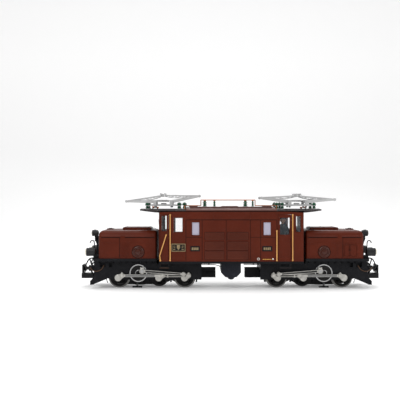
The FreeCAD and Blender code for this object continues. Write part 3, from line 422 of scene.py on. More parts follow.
BODY = "centre_body"
WALL = 59.0
HALF = 129.0
SUNK = 0.3
FLOOR = 50.8
LOUVRE_COLUMNS = ((-46.9, -13.4), (-7.0, 29.4))
LOUVRE_ROWS = ((89.5, 102.3), (71.6, 85.4), (54.3, 69.2))
FRIEZE = (125.4, 138.7)
FROSTED = ((-69.85, -57.15), (57.15, 69.85))
FROSTED_Z = (97.75, 120.25)
CAB_WINDOWS = (((-102.2, -87.0), (103.0, 128.0)), ((114.6, 123.2), (103.6, 131.0)))
DOORS = {"narrow": ((-126.5, -111.6), (-124.0, -115.0), (105.0, 132.0)),
         "wide": ((83.6, 105.9), (86.2, 103.4), (98.5, 128.4))}
DOOR_RECESS = -0.4
DOOR_EDGE_Z = (51.6, 133.2)


def turned(face, ends):
    """A near-side stretch of x as it lies on either face, in rising order."""
    return tuple(sorted(-face * x for x in ends))


def wall(face, depth):
    """How far out a layer stands on one face, measured from the body's side."""
    return face * (WALL + depth)


def layer(face, depth):
    """A layer on one long side, from just inside the wall to a depth outside it."""
    return wall(face, -SUNK), wall(face, depth)


def ring_bars(across, up, width):
    """The four bars around an opening, each as a span across and a span upwards."""
    (a, b), (low, high) = sorted(across), up
    return (((a - width, b + width), (high, high + width)), ((a - width, b + width), (low - width, low)),
            ((a - width, a), (low, high)), ((b, b + width), (low, high)))


def frame_ring(shape, face, xs, zs, width, start, out):
    """A flat rectangular frame around an opening in a side wall."""
    for across, up in ring_bars(xs, zs, width):
        shape.box(across, (wall(face, start), wall(face, out)), up)


def louvre_panels(face):
    """Six raised ventilation panels, each a shallow frame around sloping slats, and a dark ring of painted shade
    around each panel.
    """
    panels, slats, seams_and_shade = Shape(), Shape(), Shape()
    for xs in LOUVRE_COLUMNS:
        x0, x1 = turned(face, xs)
        for z0, z1 in LOUVRE_ROWS:
            frame_ring(panels, face, (x0 + 1, x1 - 1), (z0 + 1, z1 - 1), 1.0, -0.3, 0.75)
            # painted shade: a thin dark ring just outside each panel stands for the shadow along its raised edges
            frame_ring(seams_and_shade, face, (x0, x1), (z0, z1), 0.7, -0.3, 0.05)
            count = 7
            pitch = (z1 - z0 - 2) / count
            for k in range(count):
                low = z0 + 1 + k * pitch
                outline = [(wall(face, -SUNK), low), (wall(face, 0.85), low),
                           (wall(face, 0.75), low + pitch * 0.3),
                           (wall(face, 0.05), low + pitch * 0.92), (wall(face, -SUNK), low + pitch * 0.92)]
                slats.prism("YZ", outline, (x0 + 1, x1 - 1))
    word = "near" if face < 0 else "far"
    panels.make(f"louvre_frames_{word}", "brown_raised", BODY, "brown_paint", 0.15)
    slats.make(f"louvre_slats_{word}", "brown_raised", BODY, "brown_paint", 0.08)
    seams_and_shade.make(f"louvre_shade_lines_{word}", "brown_seam_and_shade", BODY, "brown_paint")


def side_panels(face):
    """Frieze panels, cover strips, window frames, sills and rivets on one long side, with dark panel joints and a
    line of painted shade under the roof's edge.
    """
    word = "near" if face < 0 else "far"
    raised, seams_and_shade, rivets = Shape(), Shape(), Shape()
    frieze_layer = layer(face, 0.4)
    for xs in ((-80.0, -32.3), (-31.3, 33.0), (34.0, 80.0)):
        raised.box(turned(face, xs), frieze_layer, FRIEZE)
    for x in (-80.8, -52.0, -9.3, 33.5, 52.0, 80.8):
        seams_and_shade.box(turned(face, (x - 0.45, x + 0.45)), layer(face, 0.06), (52.0, FRIEZE[0] - 0.6))
    for xs in ((-127.5, -80.8), (80.8, 127.5)):
        raised.box(turned(face, xs), layer(face, 0.3), (134.6, 138.7))
    # painted shade: a dark line along the wall's top, under the roof's edge
    seams_and_shade.box((-128.0, 128.0), layer(face, 0.08), (139.2, 139.95))
    seams_and_shade.box((-80.0, 80.0), layer(face, 0.07), (124.2, 125.2))
    for xs in ((-52.0, -80.0), (33.5, 52.0), (52.0, 80.0)):
        seams_and_shade.box(turned(face, xs), layer(face, 0.06), (93.4, 94.1))
    raised.box((-128.4, 128.4), layer(face, 0.5), (50.9, 52.6))
    for xs in FROSTED:
        frame_ring(raised, face, turned(face, xs), FROSTED_Z, 0.9, -0.5, 0.55)
    for xs, zs in CAB_WINDOWS:
        frame_ring(raised, face, turned(face, xs), zs, 0.8, -0.5, 0.5)
    for xs, _, _ in DOORS.values():
        x0, x1 = turned(face, xs)
        for low, high in ((x0 - 1.5, x0 - 0.5), (x1 + 0.5, x1 + 1.5)):
            raised.box((low, high), layer(face, 0.35), (52.6, 135.0))
        raised.box((x0 - 1.5, x1 + 1.5), layer(face, 0.35), (134.1, 135.0))
    for k in range(17):
        rivets.rivets([(-76.0 + 9.5 * k, wall(face, 0.4), z) for z in (127.0, 137.2)], "y", face, 0.35, 0.22)
    for x in (-78.5, -54.0, 54.0, 78.5):
        rivets.rivets([(-face * x, wall(face, 0), 57.0 + 7.0 * k) for k in range(5)], "y", face, 0.35, 0.22)
    raised.make(f"side_trim_{word}", "brown_paint", BODY, "brown_paint", 0.15)
    seams_and_shade.make(f"side_seams_and_shade_{word}", "brown_seam_and_shade", BODY, "brown_paint")
    rivets.make(f"side_rivets_{word}", "brown_paint", BODY, "brown_paint")


def plate_reliefs(face):
    """Plain raised bars inside the cast plates, without lettering, on a dark ground."""
    word = "near" if face < 0 else "far"
    ground, relief = Shape(), Shape()
    relief_layer = (wall(face, 0.3), wall(face, 0.8))
    for xs in ((-72.8, -56.2), (54.8, 72.3)):
        x0, x1 = turned(face, xs)
        ground.box((x0 + 1.1, x1 - 1.1), (wall(face, -0.2), wall(face, 0.42)), (70.1, 76.9))
        step = (x1 - x0 - 4.0) / 4
        for k in range(4):
            a = x0 + 2.0 + (k + 0.5) * step
            relief.box((a - 1.2, a + 1.2), relief_layer, (71.2, 75.8))
    x0, x1 = turned(face, (-106.4, -81.6))
    centre = (x0 + x1) / 2
    ground.box((x0 + 1.1, x1 - 1.1), (wall(face, -0.2), wall(face, 0.42)), (69.6, 81.3))
    relief.prism("XZ", [(centre - 2.8, 80.2), (centre - 2.8, 75.0), (centre, 70.8), (centre + 2.8, 75.0),
                        (centre + 2.8, 80.2)], relief_layer)
    for sign in (-1, 1):
        for k in range(3):
            low = 71.6 + 3.0 * k
            relief.box((centre + sign * 5.6, centre + sign * (9.6 - 0.8 * (k == 1))), relief_layer, (low, low + 1.1))
    ground.make(f"plate_grounds_{word}", "frame_dark", BODY, "brass_plate")
    relief.make(f"plate_reliefs_{word}", "brass_plate", BODY, "brass_plate", 0.15)


def small_marks(face):
    """A ring, a dashed line and a square painted near the foot of the wall."""
    word = "near" if face < 0 else "far"
    white, yellow = Shape(), Shape()
    thin = (wall(face, -0.1), wall(face, 0.1))
    white.torus("y", (-face * 48.1, wall(face, 0.02), 55.2), 1.9, 0.4, 20, 6)
    white.box(turned(face, (72.7, 74.9)), thin, (54.1, 56.3))
    for k in range(5):
        yellow.box(turned(face, (55.5 + 3.3 * k, 58.0 + 3.3 * k)), thin, (54.1, 55.1))
    white.make(f"marks_white_{word}", "mark_white", BODY, "brown_paint")
    yellow.make(f"marks_yellow_{word}", "mark_yellow", BODY, "brown_paint")


def end_walls():
    """Window frames, a door outline, a handrail and rivets on each cab end."""
    for side, word in SIDES.items():
        trim, dark = Shape(side), Shape(side)
        near, far = HALF - SUNK, HALF + 0.45
        for sign in (-1, 1):
            for across, up in ring_bars((sign * 20.0, sign * 46.0), (110.0, 131.0), 0.9):
                trim.box((near, far), across, up)
            dark.tube(curve_points([(130.0, sign * 25.0, 112.0), (130.4, sign * 31.0, 116.0),
                                    (130.2, sign * 38.0, 125.0)]), 0.4, 8)
        trim.box((near, 132.4), (-12.0, 12.0), (52.0, 104.5))
        trim.box((near, far), (-9.0, -8.2), (107.0, 134.0))
        trim.box((near, far), (8.2, 9.0), (107.0, 134.0))
        trim.box((near, far), (-9.0, 9.0), (134.0, 134.8))
        trim.rivets([(HALF, y, 136.5) for y in range(-52, 53, 8)], "x", 1, 0.35, 0.25)
        dark.tube([(HALF, 11.5, 112.0), (131.4, 11.5, 112.0), (131.4, 11.5, 126.0),
                   (HALF, 11.5, 126.0)], 0.55, 8)
        trim.make(f"{word}_end_trim", "brown_paint", BODY, "brown_paint", 0.12)
        dark.make(f"{word}_end_wipers", "lamp_black", BODY, "frame_dark")


def roof_details():
    """Boards, a painted shade line under the eaves, hatches, lifting eyes and insulator caps on the roof."""
    boards, seams_and_shade, metal = Shape(), Shape(), Shape()

    def roof_z(y, crown=147.5, radius=395.0):
        return crown - radius + math.sqrt(radius ** 2 - y ** 2)

    for x in (-54.0, -18.0, 18.0, 54.0):
        line = [(x, -59.3 + 118.6 * k / 24, roof_z(-59.3 + 118.6 * k / 24) - 0.1) for k in range(25)]
        boards.tube(line, 0.5, 6)
    for sign in (-1, 1):
        for k, y in enumerate((33.0, 36.5, 40.0)):
            z = roof_z(y)
            boards.box((-74.0, 74.0), (sign * (y - 1.5), sign * (y + 1.5)), (z + 0.6, z + 1.4))
        for x in range(-70, 71, 20):
            boards.box((x - 0.8, x + 0.8), (sign * 31.5, sign * 41.5), (roof_z(41) - 0.4, roof_z(33) + 0.6))
        # painted shade: a dark strip along each edge of the roof stands for the shadow gap under it
        seams_and_shade.box((-80.3, 80.3), (sign * 59.2, sign * 59.6), (140.05, 141.0))
        for x in (-76.0, 76.0):
            metal.torus("y", (x, sign * 50.0, roof_z(50) + 1.2), 1.6, 0.4, 18, 6)
    for x0, x1 in ((-76.0, -60.0), (60.0, 76.0)):
        boards.box((x0, x1), (-14.0, 14.0), (roof_z(14) - 0.3, roof_z(0) + 1.6))
    boards.box((-16.0, 14.0), (-18.0, 18.0), (roof_z(18) - 0.3, roof_z(0) + 1.3))
    for x, radius in ((-46.9, 4.4), (-29.0, 2.7), (28.4, 4.6), (42.2, 2.5)):
        metal.lathe("z", (x, 0), [(146.4, radius + 0.6), (147.9, radius + 0.6), (148.3, radius * 0.7)], 20)
    boards.make("roof_boards", "roof_brown", BODY, "roof_brown", 0.2)
    seams_and_shade.make("roof_eave_shade", "brown_seam_and_shade", BODY, "roof_brown")
    metal.make("roof_fittings", "panto_silver", BODY, "panto_silver", 0.1)


def cab_roof_details(side):
    """Rain strips, rivets and a small horn on one cab roof."""
    word = SIDES[side]
    trim, metal = Shape(side), Shape(side)
    for sign in (-1, 1):
        trim.tube([(81.0, sign * 59.0, 140.9), (133.5, sign * 59.0, 140.9),
                   (149.6, sign * 49.6, 141.0), (159.5, sign * 30.0, 141.6)], 0.6, 8)
        for k in range(6):
            trim.rivets([((90.0 + 9.0 * k), sign * 52.0, 141.0)], "z", 1, 0.5, 0.4)
    metal.lathe("x", (30.0, 146.0), [(134.0, 0.9), (142.0, 1.2), (146.0, 2.6),
                                     (146.4, 2.6)], 16)
    metal.box((135.0, 138.0), (29.2, 30.8), (142.6, 146.0))
    trim.make(f"{word}_cab_roof_trim", "roof_dark", BODY, "roof_dark")
    metal.make(f"{word}_cab_horn", "copper", BODY, "copper")


def deck_details():
    """Brackets and pipes along the deck's edge, and ribs on the box below it."""
    metal = Shape()
    for face in FACES:
        edge = face * 58.0
        metal.box((-110.0, 85.0) if face < 0 else (-85.0, 110.0), (edge, face * 58.5), (47.3, 49.9))
        metal.tube(curve_points([(-70.0, face * 50.0, 44.8), (-30.0, face * 50.0, 44.8),
                                 (-22.0, face * 48.0, 42.0),
                                 (-18.0, face * 43.0, 40.0)]), 0.8, 8)
        for x in (-66.0, -40.0, 40.0, 66.0):
            metal.box((x - 1.0, x + 1.0), (face * 49.0, face * 51.0), (43.8, 46.6))
        metal.tube([(22.0, face * 50.0, 44.8), (70.0, face * 50.0, 44.8)], 0.8, 8)
    for x in (-17.9, 17.1):
        metal.box((x, x + 0.8), (-44.0, 44.0), (29.0, 46.4))
    metal.make("deck_brackets", "frame_dark", BODY, "frame_dark", 0.15)
    ribs = Shape()
    for face in FACES:
        plane = (face * 43.8, face * 44.8)
        ribs.prism("XZ", [(-15.6, 45.5), (-15.6, 29.3), (-9.3, 22.6), (9.3, 22.6), (15.6, 29.3),
                          (15.6, 45.5)], plane)
        for x in (-12.0, -8.0, -4.0, 0.0, 4.0, 8.0, 12.0):
            ribs.box((x - 0.5, x + 0.5), (face * 44.6, face * 45.3), (26.0 + abs(x) * 0.3, 44.5))
        ribs.box((-14.0, 14.0), (face * 44.6, face * 45.3), (32.5, 33.3))
    ribs.make("transformer_ribs", "underbox", BODY, "underbox", 0.25)


def driver():
    """A plain railwayman in a dark teal jacket and cap, with one hand on the door's sill."""
    x, y = 95.0, -26.0
    coat, dark, skin = Shape(), Shape(), Shape()
    coat.lathe("z", (x, y), [(82.0, 6.4), (86.0, 6.9), (92.0, 6.1), (100.0, 6.8), (107.0, 7.8), (112.0, 7.4),
                             (115.5, 5.0), (117.0, 2.9)], 28)
    for sign in (-1, 1):
        shoulder = Vector((x + sign * 7.2, y, 112.0))
        elbow = Vector((x + sign * 9.0, y - 2.0, 99.5))
        hand = Vector((x + sign * 4.0, y - 4.5 + 9.0 * (sign > 0), 92.5 if sign < 0 else 97.5))
        line = [shoulder, shoulder.lerp(elbow, 0.5) + Vector((sign * 0.8, 0, 0)), elbow,
                elbow.lerp(hand, 0.8)]
        coat.tube(curve_points(line, 2), 2.4, 12)
        skin.lathe("z", (hand.x, hand.y), [(hand.z - 2.0, 1.1), (hand.z - 0.8, 2.0), (hand.z + 1.0, 1.8),
                                           (hand.z + 2.0, 1.0)], 12)
        dark.lathe("z", (x + sign * 3.5, y), [(FLOOR + 2.4, 2.6), (66.0, 2.9), (76.0, 3.5), (84.5, 3.8)], 16)
        dark.lathe("z", (x + sign * 3.5, y - 1.4), [(FLOOR, 3.4), (FLOOR + 1.6, 3.5), (FLOOR + 2.8, 2.6)], 16)
    skin.lathe("z", (x, y), [(116.0, 2.3), (118.6, 2.2), (119.4, 3.4), (121.4, 4.6), (124.0, 5.0),
                             (126.2, 4.6),
                             (127.4, 3.6)], 24)
    skin.lathe("y", (x, 122.6), [(y - 5.7, 0.4), (y - 5.0, 0.9), (y - 4.2, 1.2)], 10)
    for sign in (-1, 1):
        skin.lathe("x", (y, 123.0), [(x + sign * 4.4, 1.2), (x + sign * 5.3, 1.1)], 10)
        dark.lathe("y", (x + sign * 1.7, 124.0), [(y - 4.95, 0.3), (y - 4.5, 0.5)], 8)
    dark.lathe("z", (x, y), [(125.6, 5.2), (127.0, 5.5), (128.6, 6.1), (129.4, 5.9), (129.9, 3.0)], 24)
    dark.prism("XY", [(x - 3.6, y - 4.0), (x - 2.4, y - 7.0), (x + 2.4, y - 7.0), (x + 3.6, y - 4.0)],
               (125.6, 126.2))
    coat = coat.make("driver_coat", "figure_coat", BODY, "figure_plastic")
    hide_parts("driver_figure")
    dark.make("driver_cap_and_trousers", "figure_dark", BODY, "figure_plastic", 0.15)
    skin.make("driver_head_and_hands", "figure_skin", BODY, "figure_plastic")


def cab_interiors():
    """Dials, levers and a stool in each cab."""
    dark, bright = Shape(), Shape()
    for side in SIDES:
        for y in (-24.0, -16.0, 16.0, 24.0):
            bright.lathe("x", (y, 99.0), [(side * 126.9, 2.8), (side * 126.0, 2.8), (side * 125.7, 2.4)], 18)
        dark.box((side * 127.2, side * 125.9), (-30.0, 30.0), (94.8, 103.5))
        bright.tube([(side * 118.0, 20.0 * side, 89.0), (side * 117.0, 20.0 * side, 97.0)], 0.7, 8)
        dark.lathe("z", (side * 98.0, 6.0 * side), [(FLOOR, 5.0), (FLOOR + 1.0, 5.0), (52.4, 1.2),
                                                    (70.0, 1.2), (70.4, 5.6),
                                                   (72.6, 6.0), (73.2, 5.4)], 20)
    dark.make("cab_stools_and_panels", "desk_grey", BODY, "desk_grey", 0.15)
    bright.make("cab_dials", "motor_steel", BODY, "desk_grey", 0.1)


def door_details():
    """Kick plate, window frame, pane and edge seals on each cab door, and a stop by its hinge."""
    for face in FACES:
        for kind, (xs, window_xs, window_zs) in DOORS.items():
            side = 1 if -face * xs[0] > 0 else -1
            body = f"{SIDES[side]}_{kind}_door"
            trim, glass, seal, stop = Shape(), Shape(), Shape(), Shape()
            shift = DOOR_RECESS
            wx = turned(face, window_xs)
            frame_ring(trim, face, wx, window_zs, 0.8, shift - 0.2, shift + 0.35)
            x0, x1 = turned(face, xs)
            trim.box((x0 + 0.8, x1 - 0.8), (wall(face, shift - 0.2), wall(face, shift + 0.25)), (59.4, 60.2))
            trim.box((x0 + 0.8, x1 - 0.8), (wall(face, shift - 0.2), wall(face, shift + 0.2)), (52.2, 57.5))
            glass.box(wx, (wall(face, shift - 0.9), wall(face, shift - 0.3)), window_zs)
            trim.make(f"{body}_trim", "brown_paint", body, "brown_paint", 0.12)
            glass.make(f"{body}_pane", "clear_glass", body, "clear_glass")
            inner, outer = sorted((x0, x1), key=abs)
            away = 1 if outer > 0 else -1
            seal_layer = (face * 57.7, face * 58.3)
            seal.box((outer, outer + away * 0.28), seal_layer, DOOR_EDGE_Z)
            seal.box((x0 + 0.3, x1 - 0.3), seal_layer, (133.55, 133.85))
            stop.box((inner - away * 0.12, inner - away * 0.42), (face * 57.8, face * 58.5), DOOR_EDGE_Z)
            seal.make(f"{body}_seal", "brown_seam_and_shade", body, "brown_paint")
            stop.make(f"{body}_stop", "brown_seam_and_shade", BODY, "brown_paint")


def steps():
    """A hanging footstep below each cab door."""
    for face in FACES:
        for kind, xs, finish in (("narrow", (-127.7, -111.1), "step_brown"),
                                 ("wide", (86.2, 106.8), "roof_dark")):
            x0, x1 = turned(face, xs)
            step = Shape()
            step_layer = (face * 54.2, face * 55.4)
            for a, b in ((x0, x0 + 1.3), (x1 - 1.3, x1)):
                step.box((a, b), step_layer, (39.4, 48.0))
            step.box((x0, x1), (face * 54.0, face * 57.4), (38.6, 39.7))
            step.box((x0 + 1.3, x1 - 1.3), step_layer, (46.0, 47.0))
            step.make(f"step_{kind}_{'near' if face < 0 else 'far'}", finish, BODY, "frame_dark", 0.15)


def centre_body():
    """Everything that rides on the centre body."""
    softened("body_shell", "brown_paint", BODY, 0.25)
    softened("main_roof", "roof_brown", BODY, 0.4)
    softened("cab_roofs", "roof_dark", BODY, 0.4)
    softened("underframe", "frame_dark", BODY, 0.2)
    softened("transformer_box", "underbox", BODY, 0.8)
    softened("cast_plates", "brass_plate", BODY, 0.12, pick=lambda c: abs(c.x) < 80,
             extra=("frame_dark",))
    node_material("glazing", "clear_glass", "frosted_glass",
                  pick=lambda c: 1 if abs(c.x) < 80 else 0)
    node_material("handrails", "yellow_rail")
    node_material("roof_insulators", "green_insulator")
    node_material("roof_conductor", "copper")
    node_material("control_desks", "desk_grey")
    node_material("driver_figure", "figure_coat")
    for name in frame["nodes"]:
        if name.endswith("_door"):
            softened(name, "brown_paint", name, 0.15)
    for face in FACES:
        louvre_panels(face)
        side_panels(face)
        plate_reliefs(face)
        small_marks(face)
    end_walls()
    roof_details()
    for side in SIDES:
        cab_roof_details(side)
    deck_details()
    steps()
    driver()
    cab_interiors()
    door_details()


centre_body()


# ---------------------------------------------------------------- bogies

AXLES = {"outer": 203.0, "middle": 130.0, "inner": 83.5}
JACK = (166.7, 28.5)
AXLE_Z = 20.0
THROW = 8.3
CRANKS = {-1: {-1: 30.0, 1: 120.0}, 1: {-1: 150.0, 1: 60.0}}
HOOD_SIDE = 48.0
COVER_Z = 66.8
HOOD_END = (237.7, 238.35)
FRAME_SIDE = 40.0
TREAD_RADIUS = 16.3     # wheel faces further out than this are bare steel
WHEEL_BACK = 20.2
CRANK_FACE = 40.4
DISH_RADIUS = 14.4      # jackshaft faces further out than this are the bright rim


def crank_spot(side, face, axle_x, axle_z):
    """Where a crank pin stands at rest."""
    turn = math.radians(CRANKS[side][face])
    return axle_x + THROW * math.cos(turn), axle_z + THROW * math.sin(turn)


def wheel_finish(side, axle):
    """Steel treads and flanges, nickel cranks, and dark wheel centres."""
    def pick(c):
        radius = math.hypot(c.x - side * axle, c.z - AXLE_Z)
        if abs(c.y) > CRANK_FACE:
            return 1
        return 0 if radius > TREAD_RADIUS and abs(c.y) > WHEEL_BACK else 2
    return pick


def jack_finish(side):
    """A bright rim around a dark dish, and nickel crank pins."""
    def pick(c):
        radius = math.hypot(c.x - side * JACK[0], c.z - JACK[1])
        for face in FACES:
            pin_x, pin_z = crank_spot(side, face, side * JACK[0], JACK[1])
            if face * c.y > 40 and math.hypot(c.x - pin_x, c.z - pin_z) < 3.1:
                return 0
        return 0 if radius > DISH_RADIUS else 1
    return pick


def hood_trim(side):
    """Gutters, mouldings, panel lines, the bearing cover, doors and handles on one hood, with painted shade under
    the gutters and around each cover's foot.
    """
    word = SIDES[side]
    body = f"{word}_bogie"
    trim, seams_and_shade, dark, cap = Shape(side), Shape(side), Shape(side), Shape(side)
    for face in FACES:
        def out(depth):
            return face * (HOOD_SIDE + depth)

        def plate(x, z, depth, shape=trim):
            shape.box(x, (out(-0.4), out(depth)), z)

        def ring(x, z, width, depth):
            inside = [(low + width, high - width) for low, high in (x, z)]
            for across, up in ring_bars(*inside, width):
                plate(across, up, depth)

        for a, b in ((137.0, 190.5), (198.5, 233.0)):
            trim.prism("YZ", [(out(-0.5), 93.6), (out(0.95), 93.9), (out(0.95), 94.8), (out(-0.5), 96.2)],
                       (a, b))
            # painted shade: a dark strip under each gutter stands for the shadow below it
            plate((a, b), (92.2, 93.6), 0.06, seams_and_shade)
        plate((138.5, 233.0), (82.6, 83.5), 0.3)
        plate((136.0, 137.2), (56.0, 93.0), 0.35)
        plate((136.0, 236.0), (55.2, 56.6), 0.4)
        plate((199.6, 200.5), (56.6, 92.6), 0.06, seams_and_shade)
        cover = JACK[0]
        cap.lathe("y", (cover, COVER_Z), [(out(-0.4), 10.9), (out(0.8), 10.9), (out(1.9), 10.1),
                                          (out(2.5), 8.4),
                                              (out(1.7), 7.4), (out(1.7), 5.8), (out(2.9), 4.8), (out(3.4),
                                                                                                  2.8)], 48)
        # painted shade: a dark ring around the cover's foot stands for the shadow where it meets the hood
        seams_and_shade.torus("y", (cover, out(0.0), COVER_Z), 11.3, 0.35, 48, 6)
        for k in range(6):
            turn = math.radians(30 + 60 * k)
            cap.lathe("y", (cover + 7.9 * math.cos(turn), COVER_Z + 7.9 * math.sin(turn)),
                      [(out(1.6), 0.9), (out(3.0), 0.9), (out(3.1), 0.5)], 6)
        cap.lathe("y", (cover, COVER_Z), [(out(3.2), 1.6), (out(4.0), 1.5), (out(4.2), 0.9)], 6)
        if side * face < 0:
            ring((201.6, 226.2), (58.4, 81.0), 0.7, 0.35)
            ring((203.0, 212.1), (59.8, 79.6), 0.5, 0.55)
            ring((213.1, 224.8), (59.8, 79.6), 0.5, 0.55)
            plate((212.3, 212.9), (59.0, 80.4), 0.06, seams_and_shade)
            dark.rivets([(211.0, out(0.2), 70.0), (214.2, out(0.2), 70.0)], "y", face, 0.7, 1.0)
            ring((182.0, 190.0), (60.0, 81.0), 0.5, 0.35)
            ring((140.0, 153.0), (60.0, 81.0), 0.5, 0.35)
            for z in (62.0, 77.5):
                for x in (202.3, 225.4):
                    trim.rivets([(x, out(0.3), z)], "y", face, 0.8, 0.7)
        else:
            for k in range(11):
                x = 183.0 + 1.5 * k
                plate((x, x + 0.5), (58.0, 81.5), 0.35)
            for k in range(9):
                x = 139.5 + 1.5 * k
                plate((x, x + 0.35), (58.0, 81.5), 0.25)
            for k in range(14):
                plate((141.0 + 3.4 * k, 142.4 + 3.4 * k), (85.2, 91.5), 0.2)
        trim.rivets([((140.0 + 6.0 * k), out(0), 88.0) for k in range(16) if side * face < 0], "y", face,
                    0.32, 0.2)
    for sign in (-1, 1):
        for across, up in ring_bars((sign * 10.8, sign * 39.2), (60.8, 84.0), 0.8):
            trim.box(HOOD_END, across, up)
    for k in range(6):
        trim.box((237.7, 238.6), (-7.0, 7.0), (62.0 + 3.2 * k, 63.6 + 3.2 * k))
    trim.box((147.0, 195.0), (-22.0, 22.0), (109.5, 110.1))
    for x in (150.0, 171.0, 192.0):
        trim.box(((x - 0.6), (x + 0.6)), (-22.6, 22.6), (109.9, 110.5))
    for x in (152.0, 190.0):
        for y in (-24.6, 24.6):
            dark.torus("x", (x, y, 107.4), 1.5, 0.35, 16, 6)
    trim.box((198.5, 213.0), (-26.0, 26.0), (105.2, 106.0))
    dark.lathe("z", (222.0, 0.0), [(107.0, 3.2), (107.9, 3.2), (108.2, 2.6)], 20)
    for y in (-38.0, 38.0):
        dark.tube([(141.0, y, 103.6), (141.0, y, 106.4), (150.0, y, 106.4),
                   (150.0, y, 103.6)], 0.45, 8)
    trim.make(f"{word}_hood_trim", "brown_paint", body, "brown_paint", 0.12)
    seams_and_shade.make(f"{word}_hood_seams_and_shade", "brown_seam_and_shade", body, "brown_paint")
    cap.make(f"{word}_bearing_covers", "brown_gloss", body, "brown_paint", 0.12)
    dark.make(f"{word}_hood_handles", "frame_dark", body, "frame_dark", 0.05)


